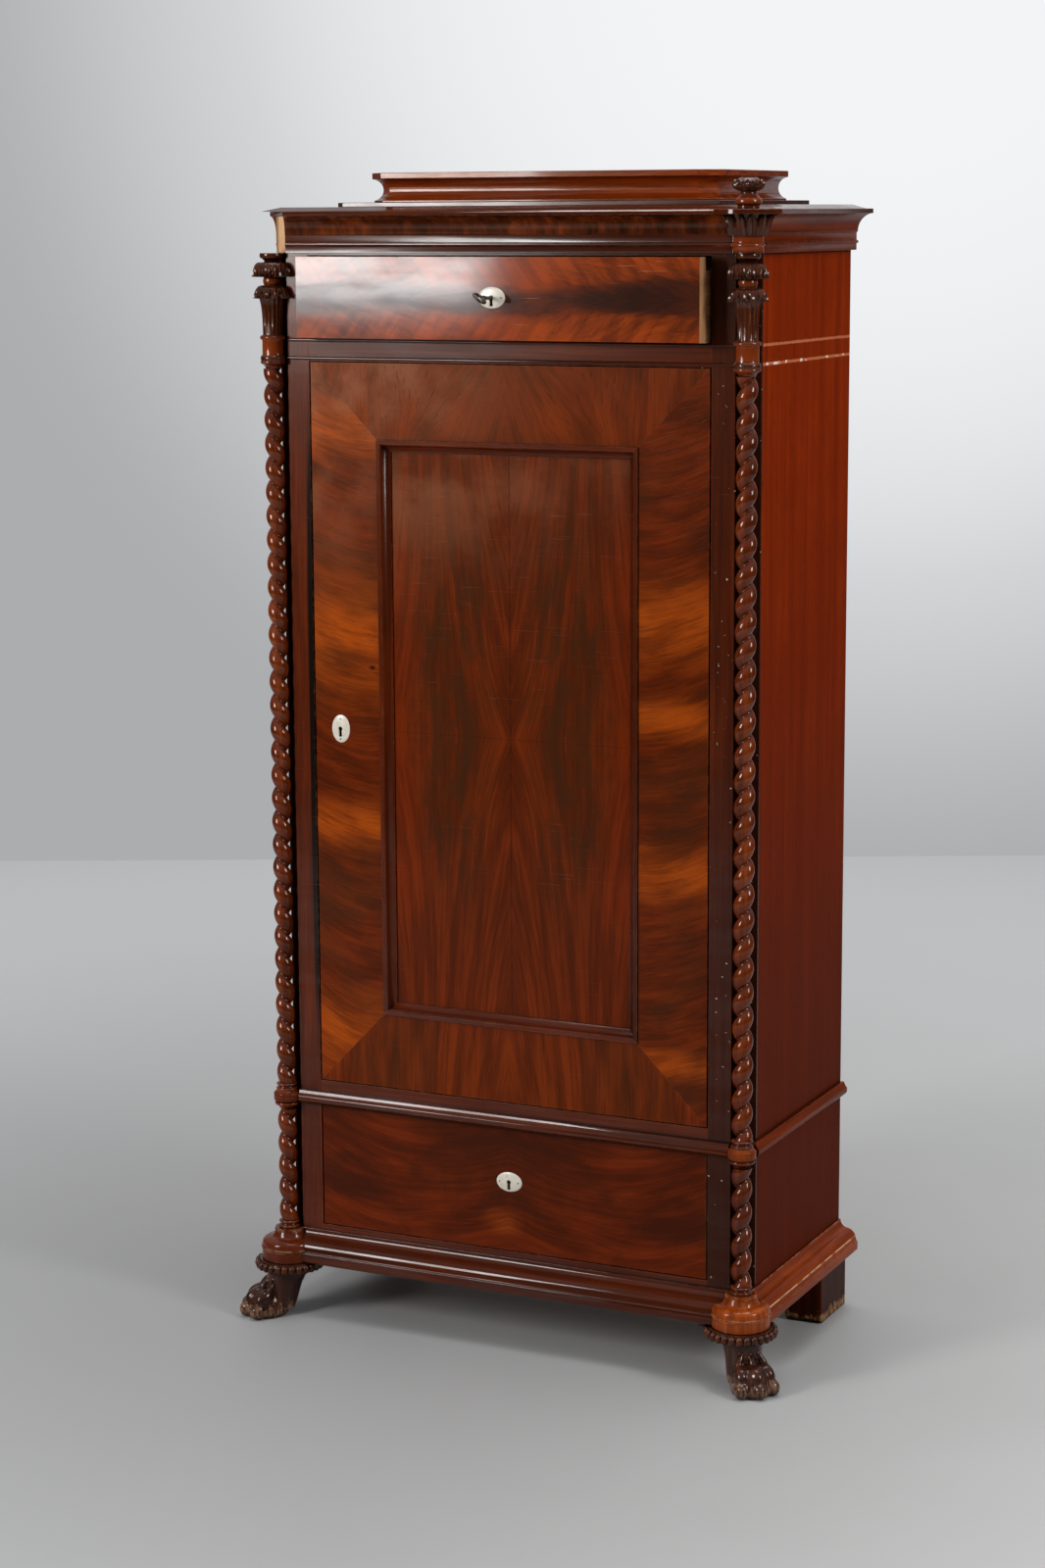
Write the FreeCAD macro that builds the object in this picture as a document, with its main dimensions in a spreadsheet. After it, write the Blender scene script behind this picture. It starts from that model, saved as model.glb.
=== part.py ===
"""A mahogany pedestal cabinet with twisted corner columns, built piece by piece in millimetres.

The floor is z = 0, the front faces -Y and x = 0 is the middle of the front. Names of sizes in the
formulas below are the names of the cells in the sheet of driving dimensions.
"""
import FreeCAD, Part
import math
import os
import re

import Sketcher

SIZES = {
    # Case, from the floor up
    "case_half_width": 355,
    "case_depth": 356,
    "origin_depth": 136.8,
    "foot_height": 82,
    "plinth_height": 45,
    "seat_rise": 8.5,
    "lower_opening": 177.5,
    "waist_rail_height": 35,
    "cupboard_opening": 1012,
    "drawer_rail_height": 31,
    "upper_opening": 111,
    "frieze_height": 52,
    "stile_width": 59,
    # Boards
    "side_thickness": 16,
    "back_thickness": 10,
    "floor_thickness": 16,
    "stile_depth": 30,
    "corner_cant": 26,
    "shelf_thickness": 16,
    "shelf_setback": 42,
    "lower_shelf_rise": 332,
    "upper_shelf_rise": 672,
    "batten_width": 20,
    "batten_height": 25,
    "guide_height": 40,
    # Mouldings
    "plinth_reach": 29,
    "plinth_abutment": 19,
    "waist_reach": 10,
    "waist_height": 18.5,
    "bead_height": 5,
    "bead_radius": 2.6,
    "bead_rise": 1.2,
    "bead_spacing": 24.5,
    "frieze_reveal": 3,
    "cornice_reach": 28,
    "cornice_abutment": 20,
    # Top and gallery
    "top_reach": 31.5,
    "top_edge": 6.5,
    "top_field": 5.5,
    "field_bevel": 20,
    "field_inset": 10,
    "field_setback": 16,
    "lobe_radius": 45,
    "plate_inset": 61.5,
    "plate_setback": 69,
    "plate_thickness": 6,
    "gallery_inset": 114.5,
    "gallery_setback": 120.5,
    "gallery_height": 40,
    "gallery_cant": 14.7,
    "gallery_reach": 22,
    "lid_thickness": 8,
    # Columns
    "column_inset": 7,
    "column_gap": 0.36,
    "twist_radius": 14,
    "twist_groove": 6.6,
    "twist_pitch": 33,
    "shaft_base": 12,
    "shaft_cup": 10.5,
    "ring_radius": 17.6,
    "disc_radius": 19,
    "disc_height": 17,
    "block_radius": 41,
    "collar_radius": 24,
    "bell_radius": 29.5,
    "finial_radius": 20.8,
    "finial_height": 39.5,
    # Feet
    "paw_reach": 64,
    "paw_half_width": 31.5,
    "paw_height": 34,
    "toe_radius": 12.5,
    "foot_collar_radius": 51,
    "foot_collar_height": 15,
    "ear_length": 56,
    "ear_thickness": 30,
    "rear_foot_width": 55,
    "rear_foot_depth": 101,
    "rear_foot_overhang": 11,
    "rear_foot_bevel": 6,
    # Door
    "edge_gap": 2,
    "door_gap": 1.35,
    "door_thickness": 24,
    "door_stile": 100.6,
    "door_top_rail": 103.6,
    "door_bottom_rail": 104.7,
    "rebate_width": 8,
    "rebate_depth": 12,
    "panel_thickness": 10,
    "panel_clearance": 0.5,
    "panel_moulding_width": 16,
    "panel_moulding_proud": 2,
    "pivot_inset": 12,
    "pivot_setback": 6,
    "pivot_radius": 3,
    "pivot_clearance": 0.05,
    "pivot_length": 14,
    "pivot_end_gap": 1,
    "hinge_plate_length": 22,
    "hinge_plate_width": 11,
    "hinge_plate_thickness": 2.5,
    # Drawers
    "drawer_gap": 1.4,
    "drawer_pull": 36.4,
    "drawer_front": 20,
    "drawer_back_room": 26,
    "drawer_side": 12,
    "drawer_side_gap": 1.5,
    "guide_gap": 1.2,
    "drawer_bottom": 6,
    "bottom_rise": 8,
    "groove_depth": 5,
    "running_gap": 0.3,
    "upper_side_height": 92,
    "lower_side_height": 150,
    # Locks, key and keyholes
    "lock_width": 56,
    "lock_depth": 12,
    "lock_wall": 1.5,
    "lock_tail": 20,
    "bolt_width": 24,
    "bolt_thickness": 6,
    "bolt_clearance": 0.2,
    "bolt_throw": 8,
    "mortise_room": 1,
    "bit_length": 8.5,
    "bit_height": 5,
    "bit_thickness": 2,
    "bit_clearance": 2,
    "upper_key_drop": 52.8,
    "lower_key_drop": 76.1,
    "door_key_drop": 39.2,
    "door_key_rise": 505.65,
    "keyhole_radius": 3.2,
    "keyhole_slot": 4.6,
    "keyhole_drop": 11,
    "escutcheon_half_length": 19.5,
    "escutcheon_half_width": 14,
    "escutcheon_rise": 2.6,
    "key_radius": 2.4,
    "key_stem": 27,
    "key_collar": 3.6,
    "bow_radius": 8.5,
    "bow_wire": 2,
}

# Levels and planes that several pieces share
FRONT = "(-origin_depth)"
BACK = "(case_depth - origin_depth)"
INSIDE_BACK = "(case_depth - back_thickness - origin_depth)"
BEHIND_STILES = "(stile_depth - origin_depth)"
INSIDE = "(case_half_width - side_thickness)"
PLINTH_TOP = "(foot_height + plinth_height)"
LOWER_SEAT = "(foot_height + plinth_height + seat_rise)"
WAIST_LOW = f"({LOWER_SEAT} + lower_opening)"
WAIST_TOP = f"({WAIST_LOW} + waist_rail_height)"
RAIL_LOW = f"({WAIST_TOP} + cupboard_opening)"
UPPER_SEAT = f"({RAIL_LOW} + drawer_rail_height)"
FRIEZE_LOW = f"({UPPER_SEAT} + upper_opening)"
CASE_TOP = f"({FRIEZE_LOW} + frieze_height)"
CORNICE_LOW = f"({FRIEZE_LOW} + frieze_reveal)"
CORNICE_HEIGHT = "(frieze_height - frieze_reveal)"
TOP_EDGE = f"({CASE_TOP} + top_edge)"
TOP_FIELD = f"({TOP_EDGE} + top_field)"
PLATE_EDGE = "(case_half_width - plate_inset)"
GALLERY_EDGE = "(case_half_width - gallery_inset)"
PLATE_TOP = f"({TOP_FIELD} + plate_thickness)"
DISC_TOP = f"({WAIST_LOW} + disc_height)"
CAPITAL_HEIGHT = "(drawer_rail_height + upper_opening + frieze_reveal)"
CANT_START = "(case_half_width - corner_cant)"
COLUMN_REACH = "((ring_radius + column_gap) * sqrt(2) - corner_cant + column_inset)"
AXIS_X = "(case_half_width - column_inset)"
AXIS_Y = f"({FRONT} - {COLUMN_REACH})"
OPENING = "(case_half_width - stile_width)"
DOOR_EDGE = f"({OPENING} - edge_gap)"
DOOR_LOW = f"({WAIST_TOP} + door_gap)"
DOOR_HIGH = f"({RAIL_LOW} - door_gap)"
PANEL_EDGE = f"({DOOR_EDGE} - door_stile)"
PANEL_LOW = f"({DOOR_LOW} + door_bottom_rail)"
PANEL_HIGH = f"({DOOR_HIGH} - door_top_rail)"
PANEL_FRONT = f"({FRONT} + rebate_depth)"
DOOR_KEY = f"({DOOR_LOW} + door_key_rise)"
PIVOT_X = f"({DOOR_EDGE} - pivot_inset)"
PIVOT_Y = f"({FRONT} + pivot_setback)"
BEYOND = "(2 * case_depth)"

CONVEX, CONCAVE = 1, -1
TWIST_SIDES = 6
TWIST_STEPS_PER_TURN = 9
BACK_BOARDS = 4
FLUTES = 8

doc = FreeCAD.newDocument("PedestalCabinet")
sheet = doc.addObject("Spreadsheet::Sheet", "Dims")
nodes = {}


def fill_sheet():
    """Write each driving dimension into the sheet as a named cell."""
    for row, (name, number) in enumerate(SIZES.items(), 1):
        sheet.set(f"A{row}", name)
        sheet.set(f"B{row}", str(number))
        sheet.setAlias(f"B{row}", name)
    doc.recompute()


def linked(formula):
    """Point the size names in a formula at the sheet's cells."""
    return re.sub(r"\b(%s)\b" % "|".join(SIZES), r"Dims.\1", formula)


def size(formula):
    """Give a formula's present value."""
    return float(sheet.evalExpression(linked(formula)))


def bind(item, path, formula):
    """Tie one property to a formula of the sheet's sizes."""
    item.setExpression(path, linked(formula))


def turn(axis, degrees):
    """A rotation about a main axis."""
    return FreeCAD.Rotation(FreeCAD.Vector(*(axis == name for name in "xyz")), degrees)


def place(item, x="0", y="0", z="0", rotation=None):
    """Set a piece's turn and tie its position to the sheet."""
    if rotation:
        item.Placement = FreeCAD.Placement(FreeCAD.Vector(), rotation)
    for axis, formula in zip("xyz", (x, y, z)):
        bind(item, f"Placement.Base.{axis}", formula)
    return item


def node(name, item):
    """Name a finished piece, which is written out as a node."""
    item.Label = name
    nodes[name] = item


def about(middle, half):
    """The two planes that lie half a width either side of a middle."""
    return f"{middle} - {half}", f"{middle} + {half}"


def board(name, x, y, z):
    """A square-edged board between (low, high) planes in each direction."""
    item = doc.addObject("Part::Box", name)
    for path, (low, high) in zip(("Length", "Width", "Height"), (x, y, z)):
        bind(item, path, f"({high}) - ({low})")
    return place(item, x[0], y[0], z[0])


def rod(name, radius, length, x, y, z, rotation=None):
    """A round rod from one point along its own z axis."""
    item = doc.addObject("Part::Cylinder", name)
    bind(item, "Radius", radius)
    bind(item, "Height", length)
    return place(item, x, y, z, rotation)


def ball(name, radii, x, y, z, lowest_latitude=-90, rotation=None):
    """An egg shape with (x, y, z) radii, or the part of one above a latitude."""
    item = doc.addObject("Part::Ellipsoid", name)
    for path, formula in zip(("Radius2", "Radius3", "Radius1"), radii):
        bind(item, path, formula)
    item.Angle1 = lowest_latitude
    item.Angle2 = 90
    item.Angle3 = 360
    return place(item, x, y, z, rotation)


def group(name, pieces):
    """Several separate solids as one object."""
    item = doc.addObject("Part::Compound", name)
    item.Links = pieces
    return item


def carried(name, piece, x, y, z, rotation=None):
    """Carry a finished shape to its place."""
    return place(group(name, [piece]), x, y, z, rotation)


def joined(name, pieces):
    """Several shapes worked as one solid."""
    item = doc.addObject("Part::MultiFuse", name)
    item.Shapes = pieces
    item.Refine = False
    return item


def cut(name, base, *tools):
    """A piece with other shapes cut out of it."""
    item = doc.addObject("Part::Cut", name)
    item.Base = base
    item.Tool = tools[0] if len(tools) == 1 else group(f"{name}_tools", list(tools))
    item.Refine = False
    return item


def mirrored(name, piece):
    """The left-hand twin of a right-hand piece."""
    item = doc.addObject("Part::Mirroring", name)
    item.Source = piece
    item.Normal = FreeCAD.Vector(1, 0, 0)
    return item


def body_sketch(body, name, role):
    """A sketch on one of the body's own origin planes."""
    sketch = body.newObject("Sketcher::SketchObject", name)
    plane = next(feature for feature in body.Origin.OriginFeatures if feature.Role == role)
    sketch.AttachmentSupport = (plane, [""])
    sketch.MapMode = "FlatFace"
    return sketch


def arc_between(start, end, radius, side):
    """The short arc of a given radius from start to end, bulging out or in."""
    chord = end - start
    rise = math.sqrt(max(radius**2 - chord.Length**2 / 4, 0))
    left = FreeCAD.Vector(-chord.y, chord.x, 0) / chord.Length
    centre = (start + end) / 2 + left * rise * side
    first, last = (start, end) if side == CONVEX else (end, start)
    angles = [math.atan2(point.y - centre.y, point.x - centre.x) for point in (first, last)]
    return Part.ArcOfCircle(Part.Circle(centre, FreeCAD.Vector(0, 0, 1), radius), *angles)


def hold(sketch, formula, kind, *elements):
    """Add one dimension to a sketch and tie it to a formula."""
    index = sketch.addConstraint(Sketcher.Constraint(kind, *elements, size(formula)))
    bind(sketch, f"Constraints[{index}]", formula)


def outline(sketch, corners, closed=True):
    """Draw a profile, anticlockwise, through corners whose places are formulas.

    A corner (x, y, radius, CONVEX or CONCAVE) starts an arc, and a corner (x, y) a straight edge.
    """
    points = [FreeCAD.Vector(size(corner[0]), size(corner[1]), 0) for corner in corners]
    edges = []
    for index, corner in enumerate(corners if closed else corners[:-1]):
        start, end = points[index], points[(index + 1) % len(points)]
        if len(corner) == 2:
            edges.append((sketch.addGeometry(Part.LineSegment(start, end), False), 1, 2))
            continue
        arc = sketch.addGeometry(arc_between(start, end, size(corner[2]), corner[3]), False)
        edges.append((arc, 1, 2) if corner[3] == CONVEX else (arc, 2, 1))
        hold(sketch, corner[2], "Radius", arc)
    for edge, following in zip(edges, edges[1:] + edges[:1] if closed else edges[1:]):
        meeting = (edge[0], edge[2], following[0], following[1])
        sketch.addConstraint(Sketcher.Constraint("Coincident", *meeting))
    ends = [edge[:2] for edge in edges]
    if not closed:
        ends.append((edges[-1][0], edges[-1][2]))
    for end, corner in zip(ends, corners):
        hold(sketch, corner[0], "DistanceX", -1, 1, *end)
        hold(sketch, corner[1], "DistanceY", -1, 1, *end)


def shaped(across, up, points):
    """Turn a profile given in shares of its reach and height into formulas.

    A point (x, y, radius, side) starts an arc, whose radius is a share of the height.
    """
    corners = []
    for point in points:
        corner = (f"{across} * {point[0]}", f"{up} * {point[1]}")
        corners.append(corner if len(point) == 2 else corner + (f"{up} * {point[2]}", point[3]))
    return corners


def add_pad(body, name, role, corners, length, reverse=False):
    """Push a profile out of one of a body's planes."""
    sketch = body_sketch(body, f"{name}_profile", role)
    outline(sketch, corners)
    pad = body.newObject("PartDesign::Pad", f"{name}_pad")
    pad.Profile = sketch
    bind(pad, "Length", length)
    pad.Reversed = reverse


def padded(name, role, corners, length):
    """A body whose profile is pushed straight out of one of its planes."""
    body = doc.addObject("PartDesign::Body", name)
    add_pad(body, name, role, corners, length)
    return body


def turned(name, corners):
    """A body turned on the lathe: a (radius, height) profile spun about the upright axis."""
    body = doc.addObject("PartDesign::Body", name)
    sketch = body_sketch(body, f"{name}_profile", "XZ_Plane")
    outline(sketch, corners)
    spin = body.newObject("PartDesign::Revolution", f"{name}_turning")
    spin.Profile = sketch
    spin.ReferenceAxis = (sketch, ["V_Axis"])
    spin.Angle = 360
    return body


def moulding(name, corners, run, reach, start_slope=None, end_slope=None):
    """A length of moulding along x whose (reach, height) profile faces +Y.

    A slope is how far an end is cut back for each millimetre of reach.
    """
    body = padded(name, "YZ_Plane", corners, run)
    far = f"(2 * {reach})"
    for end, slope, origin, sign in (("start", start_slope, "0", 1), ("end", end_slope, run, -1)):
        if not slope:
            continue
        tip = f"{origin} + {sign} * {far} * {slope}"
        waste = f"{origin} - {sign} * {reach}"
        points = [(origin, "0"), (tip, far), (waste, far), (waste, "0")]
        sketch = body_sketch(body, f"{name}_{end}_mitre", "XY_Plane")
        outline(sketch, points[::sign])
        pocket = body.newObject("PartDesign::Pocket", f"{name}_{end}_cut")
        pocket.Profile = sketch
        pocket.Type = "ThroughAll"
        pocket.Reversed = True
    return body


def on_column(piece, low, side=1):
    """Stand a turned piece on a column's axis, on the right or, with side -1, the left."""
    return place(piece, f"{side} * {AXIS_X}", AXIS_Y, low)


def corner_post(name, side, inner_edge, back, height):
    """An upright with a canted outer front corner."""
    inner, outer = f"{side} * {inner_edge}", f"{side} * case_half_width"
    corners = [
        (inner, FRONT),
        (f"{side} * {CANT_START}", FRONT),
        (outer, f"{FRONT} + corner_cant"),
        (outer, back),
        (inner, back),
    ]
    return padded(name, "XY_Plane", corners[::side], height)


def build_boards():
    """The side panels, back boards and floors of the case."""
    height = ("foot_height", CASE_TOP)
    panels = {"left": ("-case_half_width", f"-{INSIDE}"), "right": (INSIDE, "case_half_width")}
    for side, edges in panels.items():
        node(f"{side}_side_panel", board(f"{side}_side", edges, (BEHIND_STILES, BACK), height))
    width = f"(2 * {INSIDE} / {BACK_BOARDS})"
    planks = []
    for index in range(BACK_BOARDS):
        edges = (f"-{INSIDE} + {index} * {width}", f"-{INSIDE} + {index + 1} * {width}")
        planks.append(board(f"back_board_{index}", edges, (INSIDE_BACK, BACK), height))
    node("back_boards", group("back", planks))
    floors = {
        "carcass_top": CASE_TOP,
        "drawer_dust_board": UPPER_SEAT,
        "cupboard_floor": WAIST_TOP,
        "carcass_bottom": LOWER_SEAT,
    }
    for name, top in floors.items():
        node(name, board(f"{name}_board", about("0", INSIDE), (BEHIND_STILES, INSIDE_BACK),
                         (f"{top} - floor_thickness", top)))


def build_front_frame():
    """The stiles and rails that frame the drawers and door, mortised for bolts and pivots."""
    rails = {
        "bottom_rail": ("foot_height", LOWER_SEAT),
        "waist_rail": (WAIST_LOW, WAIST_TOP),
        "drawer_rail": (RAIL_LOW, UPPER_SEAT),
        "frieze_rail": (FRIEZE_LOW, CASE_TOP),
    }
    bolt_room = "(bolt_width / 2 + mortise_room)"
    slot = (f"{FRONT} + drawer_front - lock_depth + lock_wall", f"{FRONT} + drawer_front")
    tools = {
        name: [board(f"{name}_mortise", about("0", bolt_room), slot,
                     (rails[name][0], f"{rails[name][0]} + bolt_throw + mortise_room"))]
        for name in ("waist_rail", "frieze_rail")
    }
    tools["waist_rail"].append(sole_plate("waist_housing", WAIST_TOP, -1))
    tools["drawer_rail"] = [sole_plate("rail_housing", RAIL_LOW, 1)]
    for name, levels in rails.items():
        bar = board(f"{name}_bar", about("0", OPENING), (FRONT, BEHIND_STILES), levels)
        node(name, cut(f"{name}_cut", bar, *tools[name]) if name in tools else bar)
    posts = []
    for name, side in (("left_post", -1), ("right_post", 1)):
        height = f"{CASE_TOP} - foot_height"
        post = corner_post(name, side, OPENING, BEHIND_STILES, height)
        posts.append(place(post, z="foot_height"))
    strike = board("door_strike", (f"-{OPENING} - bolt_throw - mortise_room", f"-{OPENING}"),
                   (f"{FRONT} + door_thickness - lock_depth + lock_wall", f"{FRONT} + door_thickness"),
                   about(DOOR_KEY, bolt_room))
    node("left_stile", cut("left_stile_cut", posts[0], strike))
    node("right_stile", posts[1])


def sole_plate(name, level, side):
    """The iron plate of a pivot, let into the rail above or below the door."""
    levels = sorted((level, f"{level} + {side} * hinge_plate_thickness"), key=size)
    return board(name, (f"{PIVOT_X} - hinge_plate_length", OPENING),
                 about(PIVOT_Y, "hinge_plate_width / 2"), levels)


def build_inside():
    """Shelves, their battens, and the guides that keep the drawers straight."""
    depth = (f"{FRONT} + shelf_setback", INSIDE_BACK)
    shelves, battens, guides = [], [], []
    for name in ("lower", "upper"):
        level = f"({WAIST_TOP} + {name}_shelf_rise)"
        top = f"{level} + shelf_thickness"
        shelves.append(board(f"{name}_shelf", about("0", INSIDE), depth, (level, top)))
        for side, edges in (("left", (f"-{INSIDE}", f"-{INSIDE} + batten_width")),
                            ("right", (f"{INSIDE} - batten_width", INSIDE))):
            under = (f"{level} - batten_height", level)
            battens.append(board(f"{name}_{side}_batten", edges, depth, under))
    drawer_edge = f"({DOOR_EDGE} - drawer_side_gap + guide_gap)"
    for name, seat in (("lower", LOWER_SEAT), ("upper", UPPER_SEAT)):
        for side, edges in (("left", (f"-{INSIDE}", f"-{drawer_edge}")), ("right", (drawer_edge, INSIDE))):
            guides.append(board(f"{name}_{side}_guide", edges, (BEHIND_STILES, INSIDE_BACK),
                                (seat, f"{seat} + guide_height")))
    node("shelves", group("shelf_pair", shelves))
    node("shelf_battens", group("batten_set", battens))
    node("drawer_guides", group("guide_set", guides))


def facing_front(piece, right, low):
    """Turn a moulding to face the front, with its start at the right."""
    return place(piece, right, FRONT, low, turn("z", 180))


def facing_right(piece, low):
    """Turn a moulding to face right along the case's side, with its start at the back."""
    return place(piece, "case_half_width", BACK, low, turn("z", -90))


def moulding_round(name, profile, reach, abutment, low):
    """A front moulding and its two returns, which stop against the columns' corner pieces."""
    half_run = f"({AXIS_X} - {abutment})"
    front = moulding(f"{name}_front_run", profile, f"2 * {half_run}", reach)
    side_run = f"{BACK} - ({AXIS_Y} + {abutment})"
    right = facing_right(moulding(f"{name}_right_run", profile, side_run, reach), low)
    pair = group(f"{name}_return_pair", [right, mirrored(f"{name}_left_run", right)])
    return facing_front(front, half_run, low), pair


def build_mouldings():
    """The plinth and waist mouldings, and the two beads of the drawer rail."""
    plinth = shaped("plinth_reach", "plinth_height", [
        (0, 0), (0.86, 0), (1, 0.06), (1, 0.33), (0.93, 0.36), (0.9, 0.45, 0.336, CONVEX),
        (0.41, 0.736, 0.264, CONCAVE), (0.1, 0.916), (0.1, 1), (0, 1),
    ])
    front, pair = moulding_round("plinth", plinth, "plinth_reach", "plinth_abutment", "foot_height")
    node("plinth_front", front)
    node("plinth_returns", pair)
    waist = shaped("waist_reach", "waist_height", [
        (0, 0), (0.7, 0), (1, 0.22), (1, 0.54), (0.75, 0.7), (0.5, 1), (0, 1),
    ])
    front, pair = moulding_round("waist", waist, "waist_reach", "disc_radius", WAIST_LOW)
    node("waist_moulding_front", front)
    node("waist_moulding_returns", pair)
    bead = [("0", "0", "bead_radius", CONVEX), ("0", "bead_height")]
    beads = []
    for name, rise in (("low", "bead_rise"), ("high", "bead_rise + bead_spacing")):
        level = f"{RAIL_LOW} + {rise}"
        strip = moulding(f"{name}_front_bead", bead, f"2 * {CANT_START}", "bead_radius")
        side_strip = moulding(f"{name}_side_bead", bead, "case_depth - corner_cant", "bead_radius")
        beads.append(facing_front(strip, CANT_START, level))
        beads.append(mirrored(f"{name}_left_bead", facing_right(side_strip, level)))
    node("rail_beads", group("bead_set", beads))


def build_cornice():
    """Frieze bands and cove on three sides, open at the bare left corner."""
    profile = shaped("cornice_reach", CORNICE_HEIGHT, [
        (0, 0), (0.28, 0), (0.28, 0.18), (0.37, 0.2), (0.37, 0.26), (0.28, 0.28), (0.28, 0.48),
        (0.34, 0.51, 0.5, CONCAVE), (1, 1), (0, 1),
    ])
    right_end = f"({AXIS_X} - cornice_abutment)"
    front = moulding("cornice_front_run", profile, f"{right_end} + {CANT_START}", "cornice_reach",
                     end_slope="tan(22.5 deg)")
    node("cornice_front", facing_front(front, right_end, CORNICE_LOW))
    right_run = f"{BACK} - ({AXIS_Y} + cornice_abutment)"
    right = moulding("cornice_right_run", profile, right_run, "cornice_reach")
    left = moulding("cornice_left_twin", profile, "(case_depth - corner_cant)", "cornice_reach",
                    end_slope="1")
    left_run = mirrored("cornice_left_run", facing_right(left, CORNICE_LOW))
    node("cornice_returns", group("cornice_pair", [facing_right(right, CORNICE_LOW), left_run]))


def build_top():
    """The top board, with a round lobe over the right column and a bevelled raised field."""
    edge = "(case_half_width + top_reach)"
    lip = f"({FRONT} - top_reach)"
    slab = padded("top_slab", "XY_Plane", [
        (f"-{edge}", BACK),
        (f"-{edge}", f"{FRONT} + corner_cant + top_reach"),
        (f"-{CANT_START}", FRONT),
        (f"-{CANT_START} + top_reach * tan(22.5 deg)", lip),
        (f"{AXIS_X} - sqrt(lobe_radius^2 - (top_reach - {COLUMN_REACH})^2)", lip, "lobe_radius", CONVEX),
        (f"{AXIS_X} + lobe_radius / sqrt(2)", f"{AXIS_Y} - lobe_radius / sqrt(2)", "lobe_radius", CONVEX),
        (edge, f"{AXIS_Y} + sqrt(lobe_radius^2 - (top_reach + column_inset)^2)"),
        (edge, BACK),
    ], "top_edge")
    place(slab, z=CASE_TOP)
    field = doc.addObject("Part::Wedge", "top_field")
    half = f"({edge} - field_inset)"
    depth = "(case_depth - field_setback)"
    limits = {
        "Xmin": f"-{half}",
        "Xmax": half,
        "Ymin": "0",
        "Ymax": "top_field",
        "Zmin": "0",
        "Zmax": depth,
        "X2min": f"-{half} + field_bevel",
        "X2max": f"{half} - field_bevel",
        "Z2min": "0",
        "Z2max": f"{depth} - field_bevel",
    }
    for path, formula in limits.items():
        bind(field, path, formula)
    place(field, "0", BACK, TOP_EDGE, turn("x", 90))
    node("cornice_top_board", joined("top_board", [slab, field]))


def canted(half, setback):
    """A rectangle against the back with its two front corners canted."""
    front = f"({FRONT} + {setback})"
    return [
        (f"-{half}", BACK),
        (f"-{half}", f"{front} + gallery_cant"),
        (f"-{half} + gallery_cant", front),
        (f"{half} - gallery_cant", front),
        (half, f"{front} + gallery_cant"),
        (half, BACK),
    ]


def build_gallery():
    """The raised gallery: a plate, a hollowed moulding mitred round three sides, and a lid."""
    base = canted(PLATE_EDGE, "plate_setback")
    node("gallery_plate", place(padded("gallery_slab", "XY_Plane", base, "plate_thickness"), z=TOP_FIELD))
    inner = canted(GALLERY_EDGE, "gallery_setback")
    path = doc.addObject("Sketcher::SketchObject", "gallery_path")
    outline(path, inner, closed=False)
    section = doc.addObject("Sketcher::SketchObject", "gallery_section")
    place(section, "0", BACK, "0", turn("x", 90))
    profile = shaped("gallery_reach", "gallery_height", [
        (0, 0), (0, 1), (1, 1), (1, 0.8), (0.91, 0.78, 0.36, CONCAVE), (0.88, 0.07), (0.88, 0),
    ])
    outline(section, [(f"-{GALLERY_EDGE} - {corner[0]}", *corner[1:]) for corner in profile])
    sweep = doc.addObject("Part::Sweep", "gallery_sweep")
    sweep.Sections = [section]
    sweep.Spine = (path, [])
    sweep.Solid = True
    sweep.Transition = "Right corner"
    node("gallery_moulding", place(sweep, z=PLATE_TOP))
    lid = padded("gallery_lid_slab", "XY_Plane", inner, "lid_thickness")
    node("gallery_lid", place(lid, z=f"{PLATE_TOP} + gallery_height - lid_thickness"))


def beside_column(name, abutment, low, high):
    """The space that the front and side mouldings fill beside a right-hand corner piece."""
    level = (low, high)
    return [
        board(f"{name}_front", ("0", f"{AXIS_X} - {abutment}"), (f"{FRONT} - {BEYOND}", FRONT), level),
        board(f"{name}_side", ("case_half_width", f"case_half_width + {BEYOND}"),
              (f"{AXIS_Y} + {abutment}", BACK), level),
    ]


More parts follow.
